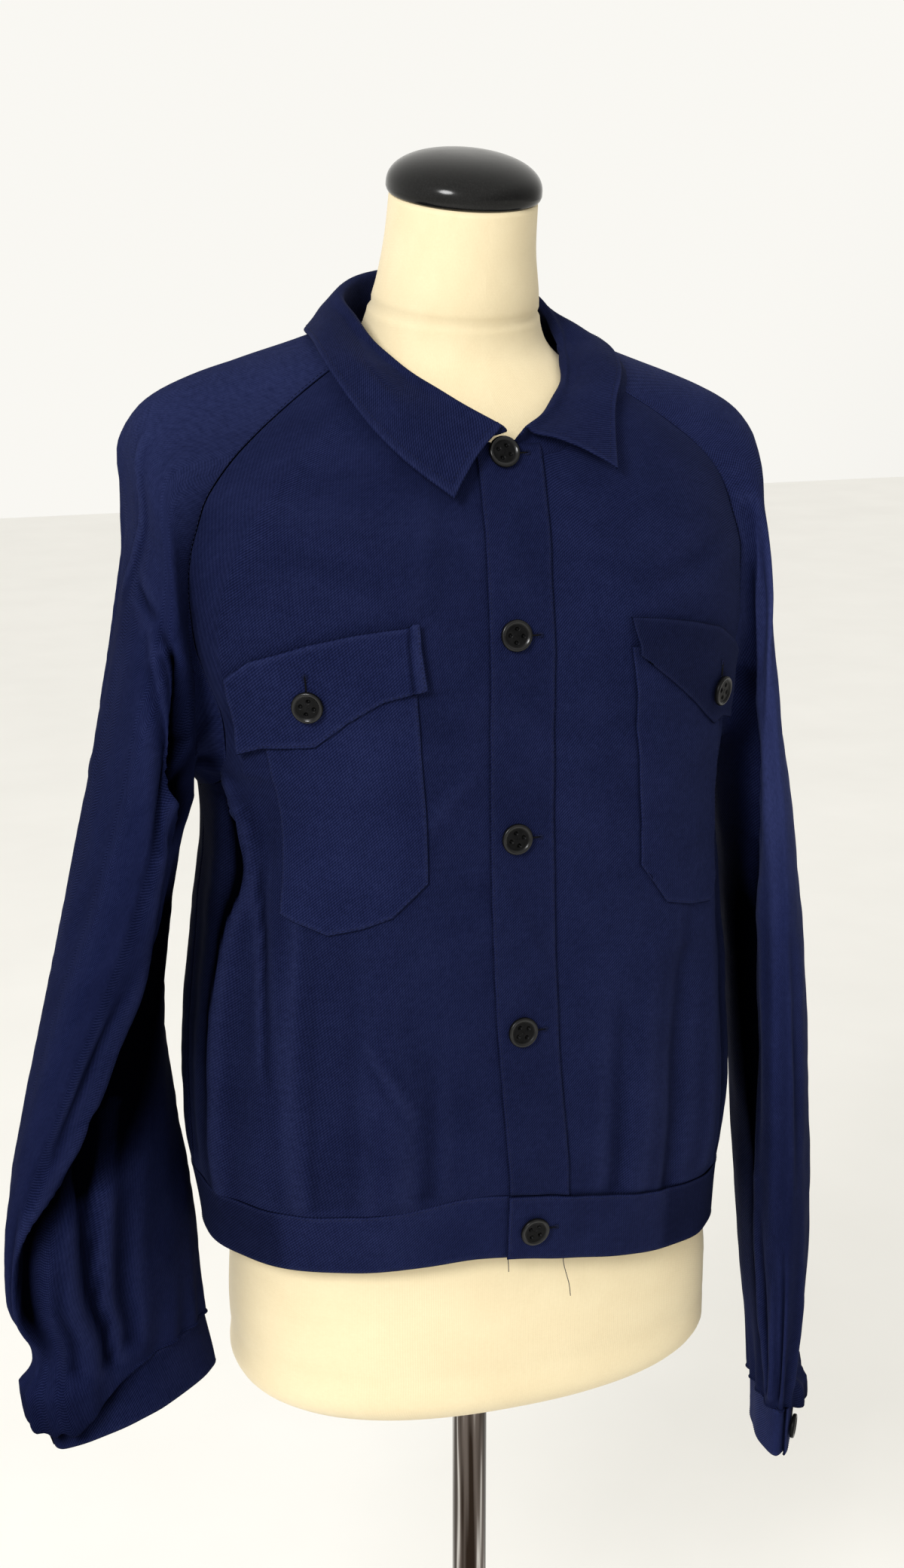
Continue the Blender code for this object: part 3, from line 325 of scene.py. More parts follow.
# Topstitching: kinds of cloth, their stitched edges, and how far in from them.
SEAMS = (
    (("placket",), ENDS, 0.0018),
    (("pocket_right", "pocket_left", "flap_right", "flap_left"), ("low", *ENDS), 0.0018),
    (("waistband",), ("low", "high", "first"), 0.0022),
    (("collar",), ("low", *ENDS), 0.0050),
    (("cuff_right", "cuff_left"), ("low", "high"), 0.0020),
    (("sleeve_right", "sleeve_left"), ("high",), 0.0028),
)
# Loose ends of thread at the hem: angle, then steps sideways, out and down from the hem.
LOOSE_THREADS = (
    (-6.0, ((0, 0.001, 0.004), (0.0005, 0.002, -0.003), (0.0005, 0.003, -0.009))),
    (11.5, ((0, 0.001, 0.004), (0, 0.002, -0.004), (0.002, 0.003, -0.013),
            (0.004, 0.003, -0.020), (0.0045, 0.004, -0.028))),
)

# Creases: start and end (angle or share round, height), sideways bow, depth out (+) or in (-),
# half-width, lean to one side, and ends: 0 both fade, 1 the start stays, 2 the end stays,
# 3 both stay.
BODY_CREASES = (
    (-74.5, 1.082, -71, 1.01, 0, 0.004, 0.005, 0.4, 1),
    (-69.5, 1.035, -62, 0.88, 0.003, -0.0034, 0.004, 0.3, 0),
    (-77, 1, -77, 0.8, 0, 0.0036, 0.01, 0, 2),
    (-57, 1.06, -56, 0.81, 0, 0.0022, 0.007, -0.4, 2),
    (-47.5, 1.02, -46, 0.815, 0.002, -0.0046, 0.015, -0.3, 2),
    (-36, 0.96, -33, 0.815, 0, 0.002, 0.012, 0, 2),
    (-27.5, 0.92, -27.5, 0.82, 0.002, -0.0032, 0.009, 0, 2),
    (-19, 0.93, -20, 0.815, 0, -0.002, 0.016, 0, 2),
    (-42, 0.925, -29, 0.868, 0, 0.0014, 0.004, 0, 0),
    (-32, 1.045, -12, 1.1, 0.004, 0.0012, 0.008, 0, 0),
    (-12, 1.035, 9, 0.95, 0, 0.0018, 0.006, 0, 0),
    (-12, 0.952, 9, 0.935, 0.002, 0.0014, 0.005, 0, 0),
    (-10, 0.9, 12, 0.85, 0.002, 0.0012, 0.007, 0, 0),
    (-62, 1.235, -30, 1.2, 0.006, -0.0014, 0.01, 0, 0),
    (-24, 1.265, -28, 1.19, 0, 0.0014, 0.01, 0, 0),
    (50, 1, 44, 0.795, -0.003, -0.0046, 0.01, 0.2, 2),
    (38, 0.985, 34, 0.8, 0, 0.0026, 0.01, 0, 2), (27, 0.95, 26, 0.805, 0, -0.0024, 0.008, 0, 2),
    (60, 0.99, 57, 0.795, 0, 0.003, 0.009, 0, 2), (72, 1.01, 69, 0.79, 0, -0.004, 0.008, 0, 2),
    (66, 1.235, 34, 1.205, 0.006, -0.0014, 0.01, 0, 0),
    (78, 1.05, 66, 1.02, 0, 0.0026, 0.006, 0, 1), (88, 1.02, 84, 0.86, 0, 0.003, 0.01, 0, 0),
    (-88, 1.04, -90, 0.82, 0, -0.0044, 0.012, 0, 2),
    (-108, 1.07, -122, 0.96, 0.006, 0.004, 0.009, 0, 1),
    (-112, 1.01, -130, 0.88, 0.006, -0.004, 0.01, 0, 0),
    (-140, 1.23, -118, 1.12, 0.008, 0.003, 0.012, 0, 0),
    (-150, 1, -146, 0.8, 0.003, 0.0034, 0.012, 0, 2),
    (-168, 0.95, -170, 0.8, 0.003, -0.0034, 0.01, 0, 2),
    (175, 1.01, 168, 0.8, -0.003, 0.0036, 0.013, 0, 2),
    (152, 0.96, 156, 0.8, 0.003, -0.0036, 0.01, 0, 2),
    (110, 1.06, 126, 0.94, -0.006, 0.0042, 0.009, 0, 1),
    (114, 0.99, 132, 0.86, -0.004, -0.004, 0.01, 0, 0),
    (142, 1.24, 120, 1.13, -0.008, 0.003, 0.012, 0, 0),
    (-176, 1.29, 176, 1.18, 0.006, 0.0016, 0.014, 0, 0),
    (-160, 1.13, 165, 1.09, 0.01, -0.0018, 0.012, 0, 0),
)
SLEEVE_CREASES = {
    "right": (
        (0.43, 1.305, 0.52, 1.195, -0.006, 0.0034, 0.005, -0.3, 0),
        (0.46, 1.212, 0.365, 1.192, 0.002, -0.0022, 0.005, 0, 0),
        (0.385, 1.19, 0.18, 1.085, 0.006, 0.0045, 0.005, 0, 0),
        (0.345, 1.172, 0.195, 1.05, -0.004, -0.015, 0.013, 0, 0),
        (0.15, 1.115, 0.1, 1.075, 0.003, -0.003, 0.004, 0, 0),
        (0.12, 1.13, 0.075, 1.08, 0.003, 0.0026, 0.004, 0, 0),
        (0.09, 1.12, 0.05, 1.07, 0.003, -0.003, 0.004, 0, 0),
        (0.205, 1.12, 0.14, 0.94, 0.006, 0.005, 0.009, 0.3, 0),
        (0.148, 0.99, 0.166, 0.845, 0, 0.004, 0.008, 0.3, 0),
        (0.164, 0.88, 0.228, 0.795, -0.002, 0.0036, 0.008, 0.3, 0),
        (0.226, 0.825, 0.218, 0.7, 0, 0.0034, 0.009, 0.2, 0),
        (0.185, 0.965, 0.2, 0.85, 0.002, -0.0026, 0.004, 0, 0),
        (0.112, 0.872, 0.07, 0.69, 0.003, -0.01, 0.0075, 0, 3),
        (0.078, 0.85, 0.062, 0.69, 0.002, 0.0044, 0.006, 0, 2),
        (0.042, 0.83, 0.036, 0.7, 0.002, -0.0052, 0.009, 0, 2),
        (0.262, 0.83, 0.268, 0.705, -0.003, -0.0046, 0.009, 0, 2),
        (0.14, 0.78, 0.142, 0.69, 0, -0.003, 0.006, 0, 2),
        (0.33, 1.12, 0.3, 0.86, 0.005, 0.0024, 0.014, 0, 0),
        (0.4, 0.9, 0.38, 0.72, 0.004, 0.0034, 0.012, 0, 2),
        (0.47, 0.84, 0.46, 0.7, 0.003, -0.004, 0.01, 0, 2),
        (0.56, 1.09, 0.7, 1.01, 0.006, 0.0046, 0.009, 0, 0),
        (0.59, 1.05, 0.76, 0.96, 0.006, -0.0046, 0.009, 0, 0),
        (0.56, 0.96, 0.72, 0.93, -0.006, 0.0044, 0.009, 0, 0),
        (0.58, 0.91, 0.76, 0.88, -0.006, -0.0044, 0.009, 0, 0),
        (0.64, 1.25, 0.56, 1.12, 0.006, 0.003, 0.01, 0, 0),
        (0.8, 1.15, 0.66, 1.08, 0.005, -0.006, 0.011, 0, 0),
        (0.86, 1, 0.78, 0.76, 0.004, -0.005, 0.01, 0, 0),
        (0.7, 0.84, 0.64, 0.7, 0.004, 0.004, 0.011, 0, 2),
        (0.56, 0.82, 0.55, 0.7, 0.002, -0.004, 0.009, 0, 2),
    ),
    "left": (
        (0.31, 1.245, 0.17, 1.11, 0.005, -0.007, 0.01, 0, 0),
        (0.34, 1.235, 0.21, 1.09, 0.004, 0.003, 0.006, 0, 0),
        (0.165, 1.13, 0.112, 0.96, 0.004, -0.009, 0.011, 0, 0),
        (0.114, 1.01, 0.112, 0.76, 0.003, -0.007, 0.01, 0, 0),
        (0.2, 1.1, 0.18, 0.7, 0.004, 0.0032, 0.011, 0, 0),
        (0.13, 0.74, 0.15, 0.59, 0.002, -0.0046, 0.006, 0, 2),
        (0.185, 0.7, 0.19, 0.59, 0, 0.0036, 0.006, 0, 2),
        (0.225, 0.72, 0.23, 0.59, 0.002, -0.0046, 0.006, 0, 2),
        (0.28, 0.96, 0.3, 0.76, 0.004, -0.003, 0.01, 0, 0),
        (0.33, 0.76, 0.34, 0.6, 0.003, 0.0034, 0.009, 0, 2),
        (0.4, 0.74, 0.41, 0.6, 0.003, -0.004, 0.009, 0, 2),
        (0.56, 1.05, 0.7, 0.98, 0.006, 0.0046, 0.009, 0, 0),
        (0.58, 1, 0.76, 0.93, 0.006, -0.0046, 0.009, 0, 0),
        (0.56, 0.9, 0.72, 0.88, -0.006, 0.0044, 0.009, 0, 0),
        (0.58, 0.86, 0.74, 0.83, -0.006, -0.0044, 0.009, 0, 0),
        (0.64, 1.23, 0.56, 1.1, 0.006, 0.003, 0.01, 0, 0),
        (0.8, 1.13, 0.66, 1.06, 0.005, -0.006, 0.011, 0, 0),
        (0.86, 0.96, 0.8, 0.7, 0.004, -0.005, 0.01, 0, 0),
        (0.7, 0.76, 0.66, 0.6, 0.004, 0.004, 0.011, 0, 2),
        (0.56, 0.74, 0.55, 0.6, 0.002, -0.004, 0.009, 0, 2),
    ),
}
# Folds that lie over the cloth behind them (at lower places), from the bottom up: height,
# angle or share of the fold, drop behind it, width over which it comes out, and how far the
# painted shade reaches over the cloth behind it.
OVERLAPS = {
    "body": (np.array([
        (0.78, -78, 0.001, 0.03, 0.02), (0.85, -77, 0.003, 0.03, 0.022),
        (0.93, -76.5, 0.0045, 0.028, 0.024), (0.985, -74.5, 0.005, 0.026, 0.024),
        (1.02, -71.5, 0.006, 0.024, 0.022), (1.05, -72.5, 0.007, 0.02, 0.018),
        (1.08, -75, 0.005, 0.016, 0.014), (1.11, -76, 0, 0.012, 0.01),
    ]),),
    "right": (np.array([
        (0.69, 0.22, 0, 0.03, 0.01), (0.73, 0.222, 0.008, 0.03, 0.018),
        (0.789, 0.228, 0.014, 0.036, 0.026), (0.812, 0.206, 0.016, 0.04, 0.036),
        (0.834, 0.176, 0.018, 0.042, 0.062), (0.87, 0.163, 0.019, 0.042, 0.09),
        (0.92, 0.152, 0.018, 0.04, 0.1), (0.976, 0.146, 0.014, 0.036, 0.084),
        (1.01, 0.14, 0.007, 0.028, 0.06), (1.045, 0.134, 0, 0.02, 0.03),
    ]), np.array([
        (1.05, 0.16, 0, 0.01, 0.012), (1.074, 0.176, 0.013, 0.014, 0.022),
        (1.094, 0.222, 0.02, 0.017, 0.026), (1.114, 0.254, 0.022, 0.018, 0.028),
        (1.136, 0.28, 0.022, 0.018, 0.026), (1.158, 0.302, 0.017, 0.016, 0.02),
        (1.176, 0.34, 0.007, 0.012, 0.012), (1.19, 0.372, 0, 0.01, 0.008),
    ])),
    "left": (np.array([
        (0.56, 0.14, 0, 0.03, 0.02), (0.65, 0.12, 0.004, 0.03, 0.02),
        (0.78, 0.112, 0.009, 0.032, 0.022), (0.88, 0.118, 0.012, 0.032, 0.046),
        (1, 0.132, 0.012, 0.03, 0.06), (1.08, 0.16, 0.012, 0.026, 0.044),
        (1.145, 0.206, 0.01, 0.022, 0.014), (1.2, 0.262, 0.006, 0.016, 0.01),
        (1.25, 0.33, 0, 0.012, 0.008),
    ]),),
}


# ---- curves and surfaces --------------------------------------------------------------------
def smooth(knots, values, at):
    """Cubic Hermite curve through the rows of a table."""
    knots, values = np.asarray(knots, float), np.asarray(values, float)
    slope = np.gradient(values, knots, axis=0)
    at = np.clip(np.asarray(at, float), knots[0], knots[-1])
    i = np.clip(np.searchsorted(knots, at, side="right") - 1, 0, len(knots) - 2)
    span = knots[i + 1] - knots[i]
    t = (at - knots[i]) / span
    if values.ndim > 1:
        span, t = span[..., None], t[..., None]
    start = (1 + 2 * t) * (1 - t) ** 2 * values[i] + t * (1 - t) ** 2 * span * slope[i]
    end = t * t * (3 - 2 * t) * values[i + 1] + t * t * (t - 1) * span * slope[i + 1]
    return start + end


def ease(t):
    """From 0 to 1 with soft ends."""
    t = np.clip(t, 0, 1)
    return t * t * (3 - 2 * t)


def unit(vectors):
    """Vectors of length 1."""
    return vectors / np.linalg.norm(vectors, axis=-1, keepdims=True)


def wrap(angle):
    """Angle between -180 and 180 degrees."""
    return (np.asarray(angle, float) + 180.0) % 360.0 - 180.0


def wrap_share(share):
    """Share of a turn between -0.5 and 0.5."""
    return (share + 0.5) % 1.0 - 0.5


def ring_radius(angle, half_width, front, back, squareness):
    """Distance from a ring's centre to its edge, in the direction of angle."""
    s, c = np.sin(np.radians(angle)), np.cos(np.radians(angle))
    depth = np.where(c >= 0, front, back)
    return (np.abs(s / half_width) ** squareness
            + np.abs(c / depth) ** squareness) ** (-1.0 / squareness)


def body_folds(angle, height):
    """How far the body's cloth stands out of its plain ring, from the table of folds."""
    out = 0.0
    for top_angle, low_angle, top, low, depth, half_width in BODY_FOLDS:
        t = np.clip((top - height) / (top - low), 0, 1)
        away = wrap(angle - (top_angle + (low_angle - top_angle) * t)) / half_width
        out = out + depth * np.exp(-away ** 2) * np.sin(np.pi * np.sqrt(0.9 * t)) ** 0.8
    return out


def torso(angle, height, out=0.0):
    """Point of the body's outer surface; 0 degrees is the centre front, 90 the wearer's left."""
    angle, height = np.broadcast_arrays(np.asarray(angle, float), np.asarray(height, float))
    row = smooth(TORSO[:, 0], TORSO[:, 1:], height)
    centre_x, centre_y = row[..., 0], row[..., 1]
    radius = ring_radius(angle, *(row[..., i] for i in range(2, 6)))
    radius = radius + body_folds(angle, height) + out
    a = np.radians(angle)
    return np.stack([centre_x + radius * np.sin(a), centre_y - radius * np.cos(a), height], -1)


def angle_at_x(x, height):
    """Angle of the point near the centre front that has this x."""
    row = smooth(TORSO[:, 0], TORSO[:, 1:], height)
    return np.degrees(np.arctan2(x - row[..., 0], row[..., 3]))


def hem_height(angle, column):
    """Height of the waistband's top (1) or bottom (2) edge."""
    return smooth(HEM[:, 0], HEM[:, column], wrap(angle))


def neck_height(angle):
    return smooth(NECK[:, 0], NECK[:, 1], wrap(angle))


def button_x_at(height):
    """The button line's x at this height."""
    return smooth(BUTTON_LINE[:, 0], BUTTON_LINE[:, 1], height)


def raglan(side, face, share):
    """Angle and height at a share of a raglan seam's length, from the underarm."""
    points = np.array(RAGLAN[side, face], float)
    metres = points * (math.radians(1) * 0.14, 1.0)
    steps = np.linalg.norm(np.diff(metres, axis=0), axis=1)
    knots = np.concatenate([[0.0], np.cumsum(steps)]) / steps.sum()
    return smooth(knots, points, share)


def grid_normals(grid, closed=False):
    """Outward unit normals at a grid's points (rows go up, columns go round)."""
    across = np.roll(grid, -1, 1) - np.roll(grid, 1, 1) if closed else np.gradient(grid, axis=1)
    return unit(np.cross(across, np.gradient(grid, axis=0)))


def side_path(side, face):
    """Angle and height of a panel's outer edge: the side seam, then the raglan seam."""
    angle = SIDE_ANGLE[side]
    low = float(hem_height(angle, 1))
    seam = [(angle, low + (RAGLAN[side, face][0][1] - low) * i / SIDE_STEPS)
            for i in range(SIDE_STEPS)]
    return np.array(seam + list(raglan(side, face, np.linspace(0, 1, RAGLAN_STEPS + 1))))


def blend_heights(low, high, angles, share):
    """Heights between two edges, bent at the bottom to the hem and at the top to the neck."""
    rows = len(low)
    v = np.linspace(0, 1, rows)[:, None]
    heights = low[:, None] * (1 - share) + high[:, None] * share
    hem = hem_height(angles[0], 1) - heights[0]
    neck = neck_height(angles[-1]) - heights[-1]
    return heights + hem * (1 - v) ** 3 + neck * v ** 4


def loop_shares():
    """Share of the way round a sleeve at each column of its solid, 0 at the underarm."""
    front = np.linspace(0, RAGLAN_SHARE, RAGLAN_STEPS + 1)
    neck = np.linspace(RAGLAN_SHARE, 1 - RAGLAN_SHARE, NECK_STEPS + 1)[1:-1]
    return np.concatenate([front, neck, 1 - front[::-1][:-1]])


def sleeve_ring(row, shares):
    """One ring of a sleeve: share 0 is its inner side, 0.25 the front, 0.5 the outside."""
    outer_x, outer_z, inner_x, inner_z, centre_y, half_depth, turn, roundness, drop = row
    middle = np.array([(outer_x + inner_x) / 2, centre_y, (outer_z + inner_z) / 2])
    half = np.array([(outer_x - inner_x) / 2, 0, (outer_z - inner_z) / 2])
    a = 2 * np.pi * shares
    out, fore = (np.sign(way) * np.abs(way) ** (2 / roundness) for way in (-np.cos(a), np.sin(a)))
    points = out[:, None] * half + fore[:, None] * np.array([0, -half_depth, -drop])
    c, s = math.cos(math.radians(turn)), math.sin(math.radians(turn))
    return middle + points @ np.array([[c, -s, 0], [s, c, 0], [0, 0, 1]])


def cuff_frame(side):
    """Middle and downward direction of a sleeve's last ring."""
    before, last = (sleeve_ring(row, loop_shares()) for row in SLEEVES[side][-2:])
    down = unit(np.cross(last[6] - last[-7], last[12] - last[0]))
    if down @ (last.mean(0) - before.mean(0)) < 0:
        down = -down
    return last.mean(0), down


def corners(grid):
    """The four corners of each cell of a grid."""
    low, high = grid[:-1], grid[1:]
    return np.stack([low[:, :-1], low[:, 1:], high[:, 1:], high[:, :-1]], 2)


def grid_faces(grid, closed=False):
    """Faces between the points of a grid, as rows of indices."""
    index = np.arange(grid[..., 0].size).reshape(grid.shape[:2])
    if closed:
        index = np.concatenate([index, index[:, :1]], 1)
    return corners(index).reshape(-1, 4).tolist()


def surface_tree(grid, closed=False):
    """A grid's surface, for looking up the nearest point on it."""
    return BVHTree.FromPolygons([Vector(p) for p in grid.reshape(-1, 3)],
                                grid_faces(grid, closed))


def stand_off(points, trees, least):
    """Points moved out, where needed, to lie this far outside the surfaces."""
    moved = [Vector(p) for p in points]
    for _ in range(STAND_OFF_PASSES):
        for tree in trees:
            for i, point in enumerate(moved):
                near, normal, _, distance = tree.find_nearest(point)
                out = (point - near).dot(normal)
                aside = (point - near - normal * out).length
                if out < least and aside < STAND_OFF_ASIDE and distance < STAND_OFF_REACH:
                    moved[i] = point + normal * (least - out)
    return np.array([tuple(p) for p in moved])


def form_ring(row):
    """One ring of the dress form, kept inside the cloth that hangs on its shoulders."""
    height, centre_x, centre_y, half_width, front, back, squareness, tilt = row
    angles = np.arange(FORM_SIDES) * 360.0 / FORM_SIDES
    radius = ring_radius(angles, half_width, front, back, squareness)
    a = np.radians(angles)
    x, y = centre_x + radius * np.sin(a), centre_y - radius * np.cos(a)
    z = height + (y - centre_y) * math.tan(math.radians(tilt))
    points = np.stack([x, y, z], -1)
    over = points[:, 2] > TORSO[-1, 0] + 0.004
    cloth_row = smooth(TORSO[:, 0], TORSO[:, 1:], points[:, 2])
    away = points[:, :2] - cloth_row[:, :2]
    angle = np.degrees(np.arctan2(away[:, 0], -away[:, 1]))
    room = ring_radius(angle, *cloth_row[:, 2:].T) + body_folds(angle, points[:, 2])
    share = np.minimum(1, (room - WALL - FORM_CLEARANCE) / np.linalg.norm(away, axis=1))
    share[over] = 1
    points[:, :2] = cloth_row[:, :2] + away * share[:, None]
    return points


# ---- fine grids on the solids' form ---------------------------------------------------------
def fine_steps(cells, length, cell=PATCH_CELL, low_edge=True, high_edge=True):
    """Fractional rows (or columns) of a coarse grid, evenly spaced, closer at free edges."""
    count = max(4, int(round(length / cell)))
    steps = list(np.linspace(0, cells, count + 1))
    near = [e * cells / length for e in EDGE_STEPS]
    steps += near * low_edge + [cells - e for e in near] * high_edge
    return np.array(sorted(set(np.round(steps, 6))))


def refine(grid, rows, columns):
    """A grid of points or parameters read at fractional rows and columns, on smooth curves."""
    tall = smooth(np.arange(len(grid)), grid.reshape(len(grid), -1), rows)
    tall = tall.reshape(len(rows), grid.shape[1], -1).transpose(1, 0, 2)
    wide = smooth(np.arange(len(tall)), tall.reshape(len(tall), -1), columns)
    return wide.reshape(len(columns), len(rows), -1).transpose(1, 0, 2)


def waves(x, y, length, seed, count=7):
    """Soft irregular relief between about -1 and 1, with bumps of this length."""
    rng = np.random.default_rng(seed)
    total = 0.0
    for _ in range(count):
        turn, phase = rng.uniform(0, 2 * math.pi, 2)
        k = 2 * math.pi / (length * rng.uniform(0.7, 1.5))
        total = total + np.sin(k * (x * math.cos(turn) + y * math.sin(turn)) + phase)
    return total / count * 1.4


def uneven(kind, x, y):
    """Soft unevenness of a kind of cloth at places on it."""
    return sum(high * waves(x, y, length, seed) for high, length, seed in UNEVEN[kind])


def creases(x, y, table, scale=1.0):
    """Relief of a table of creases at places on the cloth; scale turns its places into x."""
    relief = np.zeros(np.broadcast(x, y).shape)
    for x0, y0, x1, y1, bow, depth, width, lean, ends in table:
        x0, x1 = x0 * scale, x1 * scale
        along = np.array([x1 - x0, y1 - y0])
        length = np.linalg.norm(along)
        along = along / length
        t = ((x - x0) * along[0] + (y - y0) * along[1]) / length
        side = (y - y0) * along[0] - (x - x0) * along[1] - bow * 4 * t * (1 - t)
        s = np.clip(t, 0, 1)
        fade = (np.sin(np.pi * s) ** 0.7, np.cos(np.pi / 2 * s) ** 0.8,
                np.sin(np.pi / 2 * s) ** 0.8, np.ones_like(s))[ends]
        past = np.maximum(np.abs(t - 0.5) - 0.5, 0) * length / width
        broad = width * (1 + lean * np.sign(side))
        profile = np.exp(-(side / broad) ** 2) - 0.35 * np.exp(-(side / (2.3 * width)) ** 2)
        relief = relief + depth * profile * fade * np.exp(-past ** 2)
    return relief


def overlap(kind, place, height, scale):
    """Relief of an overlapping fold, and the painted shade on the cloth behind it."""
    relief, dark = 0.0, 0.0
    for table in OVERLAPS[kind]:
        at, drop, width, reach = np.moveaxis(smooth(table[:, 0], table[:, 1:], height), -1, 0)
        inside = (height > table[0, 0]) & (height < table[-1, 0])
        drop = np.where(inside, np.maximum(drop, 0), 0)
        behind = (at - place if kind == "body" else wrap_share(at - place)) * scale
        s = np.maximum(behind, 0)
        step = (1 - np.exp(-(s / OVERLAP_EDGE) ** 2)) * np.exp(-(s / width) ** 2)
        crest = CREST_SHARE * np.exp(-(behind / CREST_WIDTH) ** 2)
        relief = relief + drop * (crest - step)
        # painted shade on the cloth behind the fold
        shade = (1 - np.exp(-(s / SHADE_START) ** 2)) * np.exp(-(s / reach) ** 3)
        dark = np.maximum(dark, shade * np.minimum(drop / FULL_SHADE_DROP, 1))
    return relief, dark


def body_creases(angle, height):
    """Creases of the body, out of its plain rings, and the painted shade behind its folds."""
    x = np.radians(wrap(angle)) * BODY_RADIUS
    scale = math.radians(BODY_RADIUS)
    relief = sum(creases(x + lap * scale, height, BODY_CREASES, scale) for lap in (-360, 0, 360))
    behind, shade = overlap("body", wrap(angle), height, scale)
    return relief + behind, shade


def body_relief(angle, height):
    """Creases, gathers and unevenness of the body, out of its plain rings."""
    x = np.radians(wrap(angle)) * BODY_RADIUS
    relief, _ = body_creases(angle, height)
    above = np.clip((height - hem_height(angle, 1)) / GATHER_HEIGHT, 0, 1)
    gather = waves(x, 0 * x, GATHER_LENGTH, 13) * np.exp(-(above * 1.6) ** 2)
    return relief + uneven("body", x, height) + GATHER_DEPTH * gather


def body(angle, height, out=0.0):
    """Point of the creased body, moved out."""
    return torso(angle, height, out + body_relief(angle, height))


def body_uv(angle, height):
    """Place on the body's cloth, in metres."""
    return np.stack(np.broadcast_arrays(np.radians(angle) * BODY_RADIUS, height), -1)


# ---- shells of cloth ------------------------------------------------------------------------
def line_lengths(grid):
    """Mean distance of each row from the first, and of each column."""
    up = np.linalg.norm(np.diff(grid, axis=0), axis=2).mean(1)
    across = np.linalg.norm(np.diff(grid, axis=1), axis=2).mean(0)
    return np.concatenate([[0], np.cumsum(up)]), np.concatenate([[0], np.cumsum(across)])


def lengths(grid):
    """Mean lengths of a grid along its columns and along its rows."""
    up = np.linalg.norm(np.diff(grid, axis=0), axis=2).sum(0).mean()
    across = np.linalg.norm(np.diff(grid, axis=1), axis=2).sum(1).mean()
    return float(up), float(across)


def ring_length(ring):
    """Length of a line of points."""
    return lengths(ring[None].repeat(2, 0))[1]


def run_up(grid):
    """Distance of each point from the first row along its column."""
    up = np.linalg.norm(np.diff(grid, axis=0), axis=2).cumsum(0)
    return np.concatenate([0 * up[:1], up])


def edge_closeness(grid, reach, edges):
    """1 at the named edges of a grid, falling to 0 at this distance from them."""
    up, across = line_lengths(grid)
    close = np.zeros(grid.shape[:2])
    for edge, away in (("low", up[:, None]), ("high", (up[-1] - up)[:, None]),
                       ("first", across[None]), ("last", (across[-1] - across)[None])):
        if edge in edges:
            close = np.maximum(close, np.clip(1 - away / reach, 0, 1))
    return close


def turn_in(grid, edges, closed=False):
    """Round the free edges of a grid inwards."""
    close = edge_closeness(grid, EDGE_STEPS[-1], edges)
    return grid - EDGE_DROP * (close ** 2)[..., None] * grid_normals(grid, closed)


def rub_and_shade_creases(relief):
    """Where cloth is lighter from rubbing on its crests (+) and has painted shade in its creases
    (-).
    """
    soft = relief
    for _ in range(3):
        wide = np.pad(soft, 1, "edge")
        soft = (wide[:-2, 1:-1] + wide[2:, 1:-1] + wide[1:-1, :-2] + wide[1:-1, 2:]
                + 2 * soft) / 6
    return np.clip((relief - soft) / RUB_AND_SHADE_DEPTH, *RUB_AND_SHADE_LIMITS)


def worn_edges_and_seam_shade(grid, edges, light, dark=0.9):
    """Lighter from rubbing along the named edges, with a painted shade line of the seam right at
    them.
    """
    near, at = (edge_closeness(grid, reach, edges) for reach in (RUBBED_EDGE, SEAM_SHADE))
    return light * near - (light + dark) * at


def tuck_under(edge, grid, uv, wear_and_painted_shading, closed=False):
    """Carry a grid on past an edge, under the cloth that it is sewn to."""
    def turned(arrays):
        return [np.swapaxes(a, 0, 1) if edge in ENDS else a for a in arrays]
    points, uv, wear_and_painted_shading, normal = turned((grid, uv, wear_and_painted_shading, grid_normals(grid, closed)))
    at, inner = (0, 1) if edge in ("first", "low") else (-1, -2)
    along = unit(points[at] - points[inner])
    extra = (points[at] + along * TUCK_REACH - normal[at] * TUCK_DEPTH, uv[at], wear_and_painted_shading[at])
    return turned([np.concatenate([e[None], a] if at == 0 else [a, e[None]])
                   for e, a in zip(extra, (points, uv, wear_and_painted_shading))])


def new_mesh(name, points, faces, rounded=True):
    """A mesh from points and faces, smooth or with flat faces."""
    mesh = bpy.data.meshes.new(name)
    mesh.from_pydata(np.reshape(points, (-1, 3)).tolist(), [], faces)
    mesh.update()
    if rounded:
        mesh.polygons.foreach_set("use_smooth", np.ones(len(mesh.polygons), bool))
    return mesh


def add_attribute(mesh, name, values):
    """A number for each point of a mesh, for its material to read."""
    layer = mesh.attributes.new(name, "FLOAT", "POINT")
    layer.data.foreach_set("value", values.astype(np.float32).ravel())


def grid_mesh(name, grid, uv, closed=False, ends=False):
    """A mesh on a grid of points, with its place on the cloth as UV."""
    rows, columns = grid.shape[:2]
    faces = grid_faces(grid, closed)
    if closed:
        turn = (uv[0, 1, 0] - uv[0, 0, 0]) * columns
        uv = np.concatenate([uv, uv[:, :1] + [turn, 0]], 1)
    uv = corners(uv).reshape(-1, 2)
    if ends:
        around = np.arange(columns)
        faces += [around[::-1].tolist(), ((rows - 1) * columns + around).tolist()]
        uv = np.concatenate([uv, np.zeros((2 * columns, 2))])
    mesh = new_mesh(name, grid, faces)
    layer = mesh.uv_layers.new(name="cloth")
    layer.data.foreach_set("uv", uv.astype(np.float32).ravel())
    return mesh


def add_object(name, data):
    """An object in the scene."""
    made = bpy.data.objects.new(name, data)
    bpy.context.scene.collection.objects.link(made)
    return made


def piece(name, mesh, material, nodes=()):
    """A finished piece of the object, riding on its body."""
    made = add_object(name, mesh)
    mesh.materials.append(material)
    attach(made, "root")
    if nodes:
        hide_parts(*nodes)
    return made


